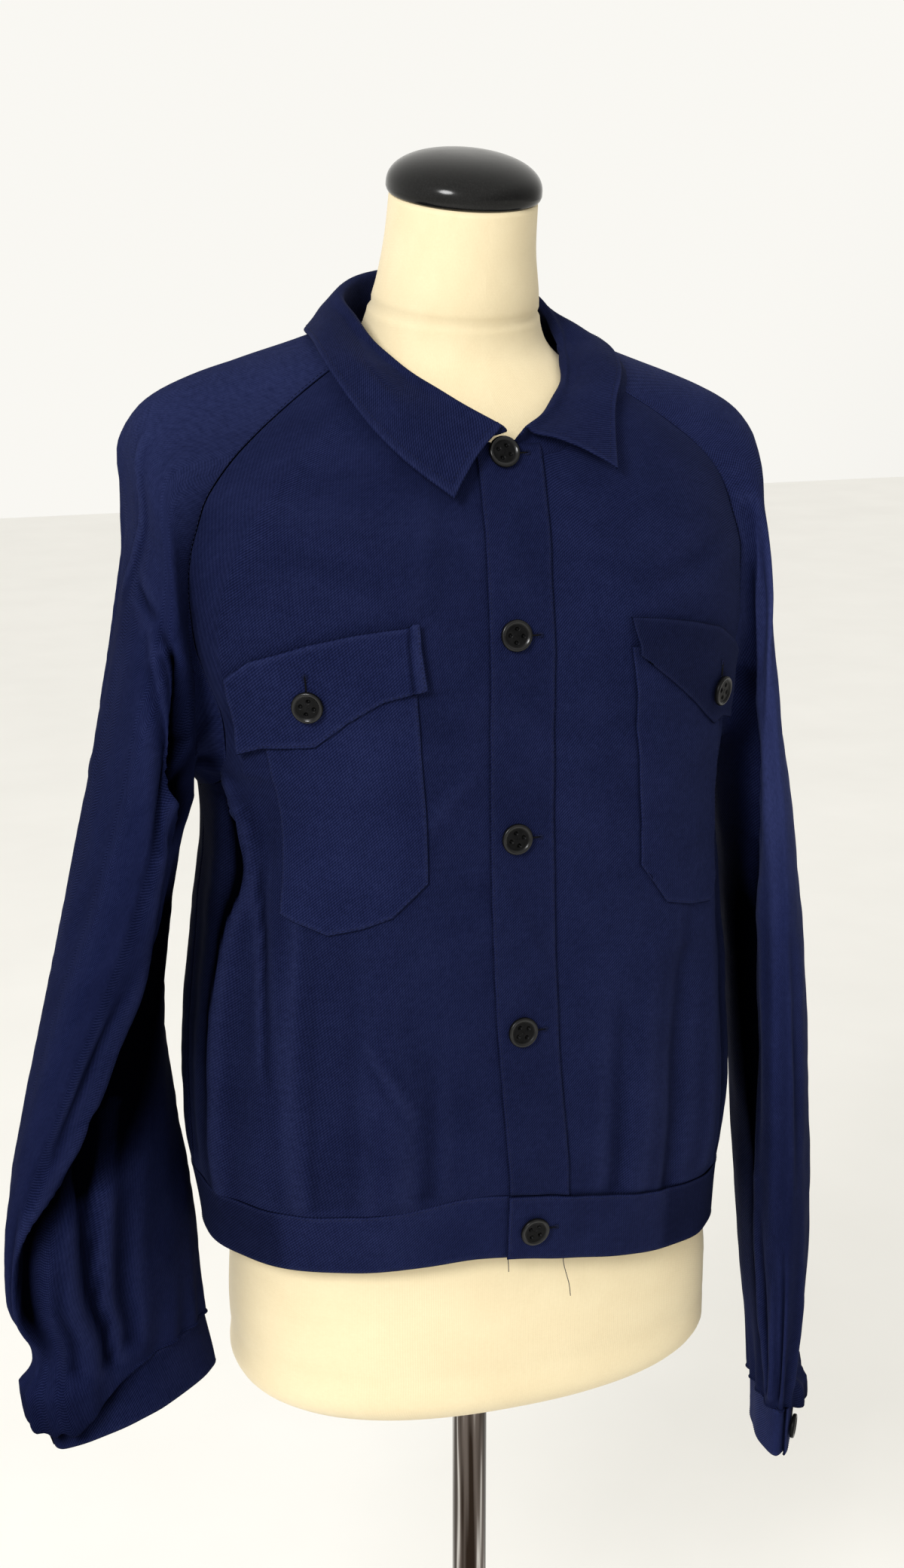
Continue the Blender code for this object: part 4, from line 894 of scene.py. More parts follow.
def shell(node, grid, uv, wear_and_painted_shading, look="twill", closed=False):
    """A wall of cloth inside a fine grid, in the place of a node."""
    wall, cut, area, held = CUTS[node.split("_")[0]]
    name = node + "_cloth"
    mesh = grid_mesh(name, grid, uv, closed)
    # the cloth's lightness for its material: lighter from rubbing, with painted shade and painted
    # light on it as well
    add_attribute(mesh, "wear_and_painted_shading", wear_and_painted_shading)
    made = piece(name, mesh, MATERIALS[look], [node])
    solid = made.modifiers.new("wall", "SOLIDIFY")
    solid.thickness = wall
    solid.offset = -1.0


# ---- the body panels ------------------------------------------------------------------------
def front_params(side):
    """Angle and height of one front's points, rows up, columns from its buttoning edge out."""
    fixed = np.array(FRONT_COLUMNS[side])
    path = side_path(side, "front")
    rows, cells = len(path), len(fixed) - 1 + OUTER_CELLS
    share = np.arange(cells + 1) / cells
    draw = ease((np.arange(rows) - (rows - 1 - NECK_ROWS)) / NECK_ROWS)
    angles = np.empty((rows, cells + 1))
    for k, (outer, _) in enumerate(path):
        free = fixed[-1] + (outer - fixed[-1]) * np.arange(1, OUTER_CELLS + 1) / OUTER_CELLS
        even = fixed[0] + (outer - fixed[0]) * share
        angles[k] = (1 - draw[k]) * np.concatenate([fixed, free]) + draw[k] * even
    rise = np.clip((path[:, 1] - path[0, 1]) / (path[-1, 1] - path[0, 1]), 0, 1)
    above = np.linspace(rise[SIDE_STEPS], 1, RAGLAN_STEPS + 1)
    rise = np.concatenate([rise[:SIDE_STEPS], above])
    low, high = hem_height(fixed[0], 1), neck_height(fixed[0])
    heights = blend_heights(low + (high - low) * rise, path[:, 1], angles, share)
    return np.stack([angles, heights], -1)


def back_params():
    """Angle and height of the back's points, from the wearer's left side round to the right."""
    left, right = side_path("left", "back"), side_path("right", "back")
    share = np.arange(BACK_CELLS + 1) / BACK_CELLS
    angles = left[:, :1] * (1 - share) + (right[:, :1] + 360.0) * share
    return np.stack([angles, blend_heights(left[:, 1], right[:, 1], angles, share)], -1)


def panel(params):
    """Fine points of a body panel, their places on its cloth, and its lightness: lighter from
    rubbing on its crests, with painted shade in its creases and behind its folds.
    """
    up, across = lengths(torso(params[..., 0], params[..., 1]))
    fine = refine(params, fine_steps(len(params) - 1, up, CLOTH_CELL),
                  fine_steps(params.shape[1] - 1, across, CLOTH_CELL))
    angle, height = fine[..., 0], fine[..., 1]
    grid = body(angle, height)
    relief, shade = body_creases(angle, height)
    return (grid, np.stack([np.radians(angle) * BODY_RADIUS, run_up(grid)], -1),
            rub_and_shade_creases(relief) - 1.2 * shade)


def facing_out(side, *grids):
    """Grids with their columns in order of increasing angle."""
    return [g if side == "left" else g[:, ::-1] for g in grids]


def placket_fine():
    """Fine points of the placket, and their places on its cloth."""
    width = PLACKET_OUTER + PLACKET_INNER
    rows = fine_steps(1, 0.49, low_edge=False, high_edge=False)[:, None]
    columns = fine_steps(1, width)
    middle = float(angle_at_x(*PLACKET_MIDDLE))
    low, high = float(hem_height(middle, 1)) + SEAM_GAP, float(neck_height(middle)) - SEAM_GAP
    heights = low + (high - low) * rows + 0 * columns
    x = button_x_at(heights) - PLACKET_OUTER + width * columns
    angles = angle_at_x(x, heights)
    low, high = hem_height(angles, 1) + SEAM_GAP, neck_height(angles) - SEAM_GAP
    heights = low + (high - low) * rows
    angles = angle_at_x(x, heights)
    return body(angles, heights, PATCH_LIFT + WALL), body_uv(angles, heights)


def build_panels():
    """The fronts, the back and the placket."""
    grids = {}
    for name, side, params, edges, look in (
            ("front_right", "right", front_params("right"), ENDS[:1], "twill"),
            ("front_left", "left", front_params("left"), ENDS[1:], "twill_painted_light"),
            ("back", "left", back_params(), ENDS, "twill")):
        grid, uv, wear_with_painted_shading = facing_out(side, *panel(params))
        grids[name] = grid
        wear_with_painted_shading = wear_with_painted_shading + worn_edges_and_seam_shade(grid, edges, 0.2)
        grid = turn_in(grid, edges)
        for edge in ("low", *edges):
            grid, uv, wear_with_painted_shading = tuck_under(edge, grid, uv, wear_with_painted_shading)
        shell(name, grid, uv, wear_with_painted_shading, look)
    grid, uv = placket_fine()
    grids["placket"] = grid
    shell("placket", turn_in(grid, ENDS), uv, worn_edges_and_seam_shade(grid, ENDS, 0.3))
    return grids


# ---- sleeves and cuffs ----------------------------------------------------------------------
def loop_at(side, share):
    """The seam that a sleeve is set into, at shares of the way round, 0 at the underarm."""
    points = np.empty((len(share), 2))
    for k, s in enumerate(share):
        if s <= RAGLAN_SHARE:
            points[k] = raglan(side, "front", s / RAGLAN_SHARE)
        elif s >= 1 - RAGLAN_SHARE:
            points[k] = raglan(side, "back", (1 - s) / RAGLAN_SHARE)
        else:
            front, back = RAGLAN[side, "front"][-1], RAGLAN[side, "back"][-1]
            t = (s - RAGLAN_SHARE) / (1 - 2 * RAGLAN_SHARE)
            points[k, 0] = front[0] + (back[0] - front[0]) * t
            points[k, 1] = neck_height(points[k, 0])
    return points


def sleeve_relief(side, share, height, top):
    """Creases of a sleeve, and its lightness: lighter from rubbing on its crests, with painted
    shade in its creases and behind its folds, and painted light and shade by height; top is 0 at
    the raglan seam and 1 away from it.
    """
    x = share * SLEEVE_ROUND
    folds = sum(creases(x + lap, height, SLEEVE_CREASES[side], SLEEVE_ROUND)
                for lap in (-SLEEVE_ROUND, 0.0, SLEEVE_ROUND))
    seed = 21 if side == "right" else 31
    turn = 2 * np.pi * share
    fore, aside = np.cos(turn) * SLEEVE_TUBE, np.sin(turn) * SLEEVE_TUBE
    rough = waves(fore, aside + height, 0.060, seed)
    fine = waves(fore + height, aside - height, 0.022, seed + 1)
    above = np.clip((height - SLEEVES[side][-1][1]) / CUFF_GATHER_HEIGHT, 0, 1)
    gather = np.sin(turn * 13 + 1.3 * np.sin(turn * 3 + seed)) * np.exp(-(above * 1.5) ** 2)
    behind, shade = overlap(side, share, height, SLEEVE_ROUND)
    relief = 1.2 * folds + behind + 0.0008 * rough + 0.0002 * fine + CUFF_GATHER_DEPTH * gather
    # lighter from rubbing on the crests, with painted shade in the creases and behind the
    # overlapping folds, and painted light and shade by height
    wear_with_painted_shading = rub_and_shade_creases(folds * top) - 1.5 * shade * top + np.interp(height, *SLEEVE_PAINTED_LIGHT[side])
    return relief * top, wear_with_painted_shading


def overhang(side, share):
    """How far over its cuff a sleeve hangs, as a share of the most."""
    middle, reach, _ = OVERHANG[side]
    lobes = 1.0
    for count, size in OVERHANG_LOBES:
        lobes = lobes + size * np.sin(2 * np.pi * share * count + count)
    return np.maximum(np.exp(-(np.abs(wrap_share(share - middle)) / reach) ** 6) * lobes, 0.06)


def roll_over(side, grid, share, wear_with_painted_shading):
    """Let the gathered end of a sleeve hang over its cuff, more on one side."""
    drop, most_out = OVERHANG[side][2], ROLL[-1][1]
    hang = overhang(side, share[0])
    _, down = cuff_frame(side)
    out = grid_normals(grid, closed=True)[2]
    out = sum(np.roll(out, k, 0) for k in range(-7, 8)) / 15
    rows = [grid[0] + (down * (drop * low) + out * lift) * hang[:, None] for low, lift in ROLL]
    above = np.arange(len(grid))[:, None] * CLOTH_CELL
    grid = grid + out[None] * (most_out * np.exp(-(above / 0.016) ** 2) * hang)[..., None]
    knots = np.stack([grid[0] - out * most_out * hang[:, None]] + rows + [grid[2], grid[4]])
    rows = smooth(np.arange(len(knots)), knots.reshape(len(knots), -1),
                  np.linspace(0, len(knots) - 2, ROLL_ROWS)).reshape(ROLL_ROWS, -1, 3)
    # painted shade on the roll that hangs over the cuff, darkest where it turns under
    shade = np.linspace(-1.2, -0.3, ROLL_ROWS - 1)[:, None] * hang + wear_with_painted_shading[:1]
    return (np.concatenate([rows[:-1], grid[2:]]),
            np.concatenate([share[:1].repeat(ROLL_ROWS - 1, 0), share[2:]]),
            np.concatenate([shade, wear_with_painted_shading[2:]]))


def sleeve_fine(side):
    """Fine points of a sleeve, their places on its cloth, and its lightness from rubbing, with
    painted light and painted shade.
    """
    shares = np.linspace(0, 1, int(round(SLEEVE_ROUND / CLOTH_CELL)) + 1)[:-1]
    loop = loop_at(side, shares)
    top = body(loop[:, 0], loop[:, 1])
    stations = np.stack([top] + [sleeve_ring(row, shares) for row in SLEEVES[side]])
    gaps = np.linalg.norm(np.diff(stations, axis=0), axis=2).mean(1)
    counts = np.maximum(3, np.round(gaps / CLOTH_CELL)).astype(int)
    steps = [k + np.arange(n) / n for k, n in enumerate(counts)]
    steps = np.concatenate([np.array((0,) + EDGE_STEPS) / gaps[0], steps[0][1:]] + steps[1:]
                           + [[len(gaps)]])
    rows = smooth(np.arange(len(stations)), stations.reshape(len(stations), -1), steps)
    grid = rows.reshape(len(steps), len(shares), 3)[::-1]
    away = line_lengths(grid[::-1])[0][::-1]
    top = np.clip(away / 0.030, 0, 1)[:, None] ** 0.8
    grid, share = facing_out(side, grid, shares[None] + 0 * steps[:, None])
    relief, folds = sleeve_relief(side, share, grid[..., 2], top)
    grid = grid + relief[..., None] * grid_normals(grid, closed=True)
    grid, share, folds = roll_over(side, grid, share, folds)
    return grid, np.stack([FACING[side] * share * SLEEVE_ROUND, run_up(grid)], -1), folds


def lap_lift(turns, lap):
    """How far a band's first end is lifted so that it lies on its last end."""
    return (DOUBLE_WALL + PATCH_LIFT) * (1 - ease((turns - lap * 1.6) / (lap * 3)))


def cuff_fine(side):
    """Fine points of a cuff from its free end round the sleeve's last ring, and its shade."""
    around = ring_length(sleeve_ring(SLEEVES[side][-1], np.linspace(0, 1, 60)))
    turns = (1 + CUFF_OVERLAP) * fine_steps(1, around * (1 + CUFF_OVERLAP))
    shares = CUFF_START + turns
    ring = sleeve_ring(SLEEVES[side][-1], shares)
    middle, down = cuff_frame(side)
    outward = unit(np.cross(np.gradient(ring, axis=0), down))
    if ((ring - middle) * outward).sum() < 0:
        outward = -outward
    lift = lap_lift(turns, CUFF_OVERLAP)[:, None]
    rows = []
    rises = fine_steps(1, CUFF_HEIGHT)[:, None]
    for share in 1 - rises[:, 0]:
        taper = 1 - (1 - CUFF_TAPER) * share
        drop = SEAM_GAP * 3 + CUFF_HEIGHT * share
        soft = uneven("cuff", shares * around, 0 * shares + drop * 0.5)[:, None]
        rows.append(middle + (ring - middle) * taper + down * drop + outward * (lift + soft))
    uv = np.stack([FACING[side] * shares[None] * around + 0 * rises,
                   rises * CUFF_HEIGHT + 0 * shares], -1)
    # painted shade on the cuff just below the sleeve's overhanging roll
    hang = overhang(side, shares)
    below = (CUFF_HEIGHT * (1 - rises) - OVERHANG[side][2] * hang) / 0.010
    shade = -1.3 * np.clip(hang * 2, 0, 1) * np.exp(-np.maximum(below, 0) ** 2)
    return facing_out(side, np.stack(rows), uv, shade)


# ---- bands, patches and collar --------------------------------------------------------------
def band_fine():
    """Fine points of the waistband from its free end, their places on its cloth, its shade."""
    start = float(angle_at_x(BAND_END_X, 0.785))
    around = ring_length(torso(np.linspace(0, 360, 90), 0.77))
    turns = (1 + BAND_OVERLAP) * fine_steps(1, around * (1 + BAND_OVERLAP))
    angles = start + 360.0 * turns
    rises = fine_steps(1, BAND_HEIGHT)[:, None]
    low, high = hem_height(angles, 2), hem_height(angles, 1) - SEAM_GAP * 1.5
    heights = low + (high - low) * rises
    x = np.radians(wrap(angles)) * BODY_RADIUS + 0 * rises
    soft = uneven("waistband", x, heights * 0.4) + body_relief(angles, high) * rises ** 2 * 0.8
    grid = torso(angles, heights, BAND_LIFT + lap_lift(turns, BAND_OVERLAP) + soft)
    # painted shade on the band's sides, where they turn away from the front
    sides = np.clip((np.abs(wrap(angles) + 8.7) - 51.0) / 3.0, 0, 1)
    sides = sides * (np.abs(wrap(angles)) < 120)
    return (grid, np.stack([np.radians(angles) * BODY_RADIUS + 0 * rises, heights], -1),
            -0.45 * sides + 0 * rises)


def patch_params(side, edges):
    """Angle, height and shares (up, across) of a pocket's or flap's fine points."""
    params = front_params(side)
    edges = np.array(edges)
    first, count = POCKET_FIRST_COLUMN, len(edges)
    inner, outer = (np.interp(edges[i].mean(), params[:, first + i, 1], params[:, first + i, 0])
                    for i in (0, count - 1))
    columns = fine_steps(count - 1, abs(outer - inner) * math.radians(1) * BODY_RADIUS)
    rows = fine_steps(1, float((edges[:, 0] - edges[:, 1]).mean()))[:, None]
    high, low = (np.interp(columns, np.arange(count), edges[:, i]) for i in (0, 1))
    heights = low + (high - low) * rows
    angles = np.empty_like(heights)
    for j, c in enumerate(columns + first):
        i = min(int(c), params.shape[1] - 2)
        line = params[:, i] * (1 - (c - i)) + params[:, i + 1] * (c - i)
        angles[:, j] = np.interp(heights[:, j], line[:, 1], line[:, 0])
    return angles, heights, rows + 0 * columns, columns / (count - 1) + 0 * rows


def patch_fine(side, kind):
    """Fine points of a pocket or a flap on its front, and how light it is: a flap's folded strip
    lighter, with a painted shade line along its edge.
    """
    angles, heights, up, across = patch_params(side, PATCHES[kind, side])
    wear_with_painted_shading = 0 * up
    soft = uneven(kind, angles * PATCH_SCALE, heights)
    if kind == "pocket":
        full = np.sin(np.pi * across) ** 0.6 * np.sin(np.pi * up ** 0.75) ** 0.8
        out = PATCH_LIFT + WALL + POCKET_FULLNESS * full + soft
    else:
        out = (PATCH_LIFT + WALL) * 2 + FLAP_LIFT + soft
        for at, reach, lift in FLAP_CURLS[side]:
            away = np.hypot((across - at[0]) * 0.11, (up - at[1]) * 0.05) / reach
            out = out + lift * np.exp(-away ** 2)
        strip = np.clip((FLAP_STRIP[side] - across * FLAP_WIDTH) / STRIP_EDGE, 0, 1)
        out = out + FLAP_STRIP_LIFT * strip
        # the folded strip painted a little lighter, with a painted shade line along its edge
        wear_with_painted_shading = 0.20 * strip - 0.8 * np.sin(np.pi * strip) ** 2
        heights = heights + FLAP_STRIP_RISE * strip * up
        pull = FLAP_PULL[side] * (1 - across) ** 5 * (1 - up)
        angles = angles - np.degrees(pull / BODY_RADIUS) * FACING[side]
    heights = heights + FRAY * waves(angles * 0.6, 0 * up, 1.9, 63) * ((up == 0) | (up == 1))
    return facing_out(side, body(angles, heights, out), body_uv(angles, heights), wear_with_painted_shading)


def collar_fine(grids):
    """Fine points of the collar from the fall's edge over the fold down to the neck seam."""
    knots = np.arange(len(COLLAR))
    rows = smooth(knots, COLLAR, np.linspace(0, knots[-1], COLLAR_CELLS + 1))[::-1]
    angles, fold, edge = rows[:, 0], rows[:, 1:4], rows[:, 4:7]
    base = torso(angles, neck_height(angles) + STAND_LIFT, -STAND_LIFT / 2)
    outward = unit((edge - fold) * (1, 1, 0))
    up = np.array([0, 0, 1.0])
    inner = fold - outward * FOLD_ROLL * 0.9 - up * FOLD_SINK
    outer = fold + outward * FOLD_ROLL - up * FOLD_SINK
    stand = base + (inner - base) * 0.5 - outward * 0.001
    fall = [outer + (edge - outer) * t + up * 0.004 * math.sin(math.pi * t) for t in FALL_ROWS]
    below = [surface_tree(grids[name][::2, ::2])
             for name in ("front_right", "front_left", "back", "placket")]
    below += [surface_tree(grids["sleeve_" + side][-70:], closed=True) for side in SIDES]
    lines = [stand_off(points, below, FALL_LEAST_OUT) for points in (edge, *fall[::-1], outer)]
    lines = np.stack(lines + [fold, inner, stand, base])
    for _ in range(COLLAR_SMOOTHING):
        lines[:4, 1:-1] = (lines[:4, :-2] + 2 * lines[:4, 1:-1] + lines[:4, 2:]) / 4
    tuck = torso(angles, neck_height(angles) - NECK_TUCK, -(CLOTH_WALL + 0.0012))
    lines = np.concatenate([lines, tuck[None]])
    steps = np.concatenate([fine_steps(4, 0.040, high_edge=False)[:-1],
                            np.linspace(4, 6, 9)[:-1], np.linspace(6, 9, 16)])
    grid = smooth(np.arange(len(lines)), lines.reshape(len(lines), -1), steps)
    grid = refine(grid.reshape(len(steps), -1, 3), np.arange(len(steps)),
                  fine_steps(COLLAR_CELLS, 0.46))
    up, across = line_lengths(grid)
    up = up[:, None]
    place = np.stack(np.broadcast_arrays(across, up))
    hold = np.clip(up / 0.010, 0, 1) * np.clip((up[-1] - up) / 0.012, 0, 1)
    soft = uneven("collar", *place) * hold
    grid = grid + soft[..., None] * grid_normals(grid)
    return grid, np.stack([place[0], -place[1]], -1)


# ---- stitches, buttonholes and threads ------------------------------------------------------
def sample(grid, rows, columns):
    """Points of a grid at fractional rows and columns."""
    i = np.clip(rows.astype(int), 0, len(grid) - 2)
    j = np.clip(columns.astype(int), 0, grid.shape[1] - 2)
    u, v = (rows - i)[:, None], (columns - j)[:, None]
    return (grid[i, j] * (1 - u) * (1 - v) + grid[i + 1, j] * u * (1 - v)
            + grid[i, j + 1] * (1 - u) * v + grid[i + 1, j + 1] * u * v)


def inset_line(grid, edge, inset):
    """A line at this distance from an edge of a grid, with its normals."""
    up, across = line_lengths(grid)
    run = np.linspace(0, 1, 400)
    high, wide = (inset + (far[-1] - 2 * inset) * run for far in (up, across))
    if edge in ENDS:
        wide = np.full_like(run, inset if edge == "first" else across[-1] - inset)
    else:
        high = np.full_like(run, inset if edge == "low" else up[-1] - inset)
    rows = np.interp(high, up, np.arange(len(up)))
    columns = np.interp(wide, across, np.arange(len(across)))
    return sample(grid, rows, columns), sample(grid_normals(grid), rows, columns)


THREAD_RADIUS = 0.00028


class Stitches:
    """Gathers short raised stitches into one mesh."""

    def __init__(self):
        self.points, self.faces = [], []

    def add(self, start, end, out, radius):
        """One stitch, a bar with four sides that is pointed at both ends."""
        along = end - start
        aside = np.cross(along, out)
        aside = aside / max(np.linalg.norm(aside), 1e-9) * radius
        lift = out * radius * 0.8
        first = len(self.points)
        self.points.append(start - lift)
        for share in (0.16, 0.84):
            middle = start + along * share
            self.points += [middle + aside, middle + lift * 1.4, middle - aside, middle - lift]
        self.points.append(end - lift)
        for k in range(first + 1, first + 5):
            n = k + 1 if k < first + 4 else first + 1
            self.faces += [(first, n, k), (k, n, n + 4, k + 4), (k + 4, n + 4, first + 9)]

    def line(self, points, normals, pitch=0.0030, share=0.68):
        """Stitches along a line on the cloth."""
        steps = np.linalg.norm(np.diff(points, axis=0), axis=1)
        far = np.concatenate([[0], np.cumsum(steps)])
        count = int(far[-1] / pitch)
        starts = (np.arange(count) + 0.16) * far[-1] / count
        ends = starts + pitch * share
        at = [np.stack([np.interp(where, far, values[:, i]) for i in range(3)], -1)
              for values, where in ((points, starts), (points, ends), (normals, starts))]
        for start, end, out in zip(*at):
            self.add(start, end, unit(out), THREAD_RADIUS)

    def hole(self, middle, along, out, half, slit, stitches=30):
        """A worked buttonhole: close short stitches across both sides of a slit."""
        along, out = unit(along), unit(out)
        slit.add(middle - along * half, middle + along * half, out, 0.0005)
        aside = np.cross(out, along)
        for turn in np.linspace(0, 2 * np.pi, stitches, endpoint=False):
            c, s = math.cos(turn), math.sin(turn)
            reach = along * half * np.sign(c) * abs(c) ** 0.35
            inner = middle + reach * 0.93 + aside * 0.00035 * s
            outer = middle + reach * 1.08 + aside * 0.0017 * np.sign(s) * abs(s) ** 0.4
            self.add(inner + out * 0.0002, outer + out * 0.0001, out, 0.00032)

    def thread(self, points):
        """A loose end of thread through these points."""
        count = len(points)
        fine = smooth(np.arange(count), points, np.linspace(0, count - 1, 6 * count))
        for a, b in zip(fine[:-1], fine[1:]):
            away = np.cross(b - a, (0.3, 0.9, 0.2))
            self.add(a, b + (b - a) * 0.15, unit(away), THREAD_RADIUS)

    def make(self, name, look):
        """The piece that all the stitches make."""
        piece(name, new_mesh(name, self.points, self.faces, rounded=False), MATERIALS[look])


# ---- buttons --------------------------------------------------------------------------------
HOLE_SPREAD = 0.30       # from a button's middle to its holes, as a share of its radius
HOLE_SIZE = 0.115
DISH_CELLS = 22
DISH_REACH = 0.60
# From the dish over the rim to the back: radius, and height as a share of the thickness.
BUTTON_PROFILE = (
    (0.68, 0.71), (0.74, 0.80), (0.79, 0.95), (0.84, 1.00), (0.90, 1.00), (0.95, 0.93),
    (0.985, 0.78), (1.0, 0.58), (0.99, 0.34), (0.95, 0.14), (0.88, 0.04), (0.78, 0.0),
)


def button_mesh(name, radius):
    """A four-hole button with a raised rim, lying on the plane z = 0."""
    spread, size = HOLE_SPREAD * radius, HOLE_SIZE * radius
    made = bmesh.new()
    # the dished middle is a grid warped from square to round, and its four holes are pressed in
    places = np.linspace(-1, 1, DISH_CELLS + 1)
    dish = []
    for v in places:
        for u in places:
            x, y = (a * math.sqrt(1 - b * b / 2) * DISH_REACH * radius
                    for a, b in ((u, v), (v, u)))
            away = min(math.hypot(x - a * spread, y - b * spread)
                       for a in (-1, 1) for b in (-1, 1))
            sink = ease((size * 1.25 - away) / (size * 0.5))
            dish.append(made.verts.new((x, y, BUTTON_THICKNESS * (0.70 - 0.55 * sink))))
    index = np.arange(len(dish)).reshape(DISH_CELLS + 1, -1)
    for face in corners(index).reshape(-1, 4):
        made.faces.new([dish[i] for i in face])
    border = [dish[i] for side in (index[0], index[:, -1], index[-1, ::-1], index[::-1, 0])
              for i in side[:-1]]
    ring = border
    for share, height in BUTTON_PROFILE:
        turned = []
        for vertex in border:
            angle = math.atan2(vertex.co.y, vertex.co.x)
            turned.append(made.verts.new((share * radius * math.cos(angle),
                                          share * radius * math.sin(angle),
                                          height * BUTTON_THICKNESS)))
        for k in range(len(ring)):
            made.faces.new((ring[k - 1], ring[k], turned[k], turned[k - 1]))
        ring = turned
    made.faces.new(ring[::-1])
    bmesh.ops.recalc_face_normals(made, faces=made.faces)
    mesh = bpy.data.meshes.new(name)
    made.to_mesh(mesh)
    made.free()
    mesh.polygons.foreach_set("use_smooth", np.ones(len(mesh.polygons), bool))
    away = np.array([math.hypot(*vertex.co[:2]) / radius for vertex in mesh.vertices])
    add_attribute(mesh, "rim", np.clip((away - 0.72) / 0.06, 0, 1)
                  * np.clip((0.97 - away) / 0.05, 0, 1))
    return mesh, spread


def surface_frame(point_at, x, z, step=0.004):
    """Point, outward normal and upward direction of a surface given as a function."""
    across = point_at(x + step, z) - point_at(x - step, z)
    up = point_at(x, z + step) - point_at(x, z - step)
    return point_at(x, z), unit(np.cross(across, up)), unit(up)


def set_button(node, point, out, up, radius, ties, turn):
    """A button on the cloth in the place of its node, with its cross of thread."""
    mesh, spread = button_mesh(node + "_turned", radius)
    out, up = Vector(out), Vector(up)
    side = up.cross(out).normalized()
    place = Matrix((side, out.cross(side).normalized(), out)).transposed().to_4x4()
    place = (Matrix.Translation(Vector(point) + out * PATCH_LIFT) @ place
             @ Matrix.Rotation(turn, 4, "Z"))
    mesh.transform(place)
    piece(node + "_turned", mesh, MATERIALS["button"], [node])
    for way in (1, -1):
        start, end = (place @ Vector((a * spread, a * way * spread, BUTTON_THICKNESS * 0.50))
                      for a in (-1, 1))
        middle = (start + end) / 2 + out * BUTTON_THICKNESS * 0.22
        for a, b in ((start, middle), (middle, end)):
            ties.add(np.array(a), np.array(b), np.array(out), 0.00026)


def build_buttons(grids, stitches, ties):
    """The buttons of the front, the flaps and the cuffs, and the buttonholes by them."""
    for number, height in enumerate(BUTTON_HEIGHTS, 1):
        x = float(button_x_at(height))
        in_band = number == len(BUTTON_HEIGHTS)
        lift = BAND_LIFT + DOUBLE_WALL + PATCH_LIFT if in_band else PATCH_LIFT + WALL

        def front(x, z, lift=lift):
            return body(float(angle_at_x(x, z)), z, lift).reshape(3)
        set_button("button_front_%d" % number, *surface_frame(front, x, height), BUTTON_RADIUS,
                   ties, 0.35 * number)
        middle, out, up = surface_frame(front, x + 0.0095, height - 0.0005)
        stitches.hole(middle + out * 0.0006, np.cross(up, out), out, 0.0075, ties)
    for side in SIDES:
        column, height = FLAP_BUTTON[side]
        line = front_params(side)[:, POCKET_FIRST_COLUMN + column]
        angle = float(np.interp(height, line[:, 1], line[:, 0]))

        def flap_at(x, z, angle=angle, lift=(PATCH_LIFT + WALL) * 2 + FLAP_LIFT + 0.0006):
            return body(angle + math.degrees(x / BODY_RADIUS), z, lift).reshape(3)
        set_button("button_flap_" + side, *surface_frame(flap_at, 0.0, height), BUTTON_RADIUS,
                   ties, 0.5)
        middle, out, up = surface_frame(flap_at, 0.0, height + 0.0125)
        flap = grids["flap_" + side].reshape(-1, 3) - middle
        close = (np.abs(flap @ np.cross(up, out)) < 0.002) & (np.abs(flap @ up) < 0.0085)
        stitches.hole(middle + out * ((flap @ out)[close].max() + 0.0005), up, out, 0.0070, ties)
        grid = grids["cuff_" + side]
        cut = lengths(grid)[1]
        near = int(np.argmin(np.abs(line_lengths(grid)[1] - cut * 1.3 / CUFF_CELLS)))
        near = near if side == "left" else grid.shape[1] - 1 - near
        row = len(grid) // 2
        set_button("button_cuff_" + side, grid[row, near], grid_normals(grid)[row, near],
                   unit(grid[row + 3, near] - grid[row - 3, near]), CUFF_BUTTON_RADIUS, ties, 0.2)


def sew(grids, stitches):
    """Topstitching beside the seams and edges, and the loose ends of thread."""
    for names, edges, inset in SEAMS:
        for name in names:
            for edge in edges:
                stitches.line(*inset_line(grids[name], edge, inset))
    for angle, steps in LOOSE_THREADS:
        at, further = (torso(angle, float(hem_height(angle, 2)), out) for out in (0.0, 1.0))
        out = further - at
        side = np.cross((0, 0, 1), out)
        stitches.thread([at + side * a + out * b + np.array((0, 0, c)) for a, b, c in steps])


# ---- the dress form -------------------------------------------------------------------------
def form_mesh():
    """The form with its sewn neck seam, closed at both ends."""
    heights = np.concatenate([np.linspace(FORM_BOTTOM, FORM_BOTTOM + 0.008, 8)[:-1],
                              np.linspace(FORM_BOTTOM + 0.008, FORM[-1, 0], 220)])
    grid = np.stack([form_ring(row) for row in smooth(FORM[:, 0], FORM, heights)])
    seam = FORM_SEAM[0] + (grid[..., 1] - FORM_SEAM[1]) * FORM_SEAM[2]
    away = (grid[..., 2] - seam) / FORM_SEAM_WIDTH
    groove = -0.0011 * np.exp(-away ** 2) + 0.0005 * np.exp(-(np.abs(away) - 2.2) ** 2)
    grid = grid + groove[..., None] * grid_normals(grid, closed=True)
    around = np.arange(FORM_SIDES) / FORM_SIDES * FORM_ROUND
    uv = np.stack([around + 0 * grid[..., 2], grid[..., 2]], -1)
    return grid_mesh("form_jersey_cover", grid, uv, closed=True, ends=True)


def turned_mesh(name, profile, sides):
    """A closed solid turned round the z axis; the profile runs up to the axis at both ends."""
    around = np.arange(sides) * 2 * np.pi / sides
    grid = np.array([[(r * math.cos(a), r * math.sin(a), z) for a in around] for r, z in profile])
    rings = grid[1:-1]
    top, last = len(rings) * sides, (len(rings) - 1) * sides
    faces = [face[::-1] for face in grid_faces(rings, closed=True)]
    for k in range(sides):
        n = (k + 1) % sides
        faces += [(top, k, n), (last + k, top + 1, last + n)]
    points = np.concatenate([rings.reshape(-1, 3), grid[:1, 0], grid[-1:, 0]])
    return new_mesh(name, points, faces)


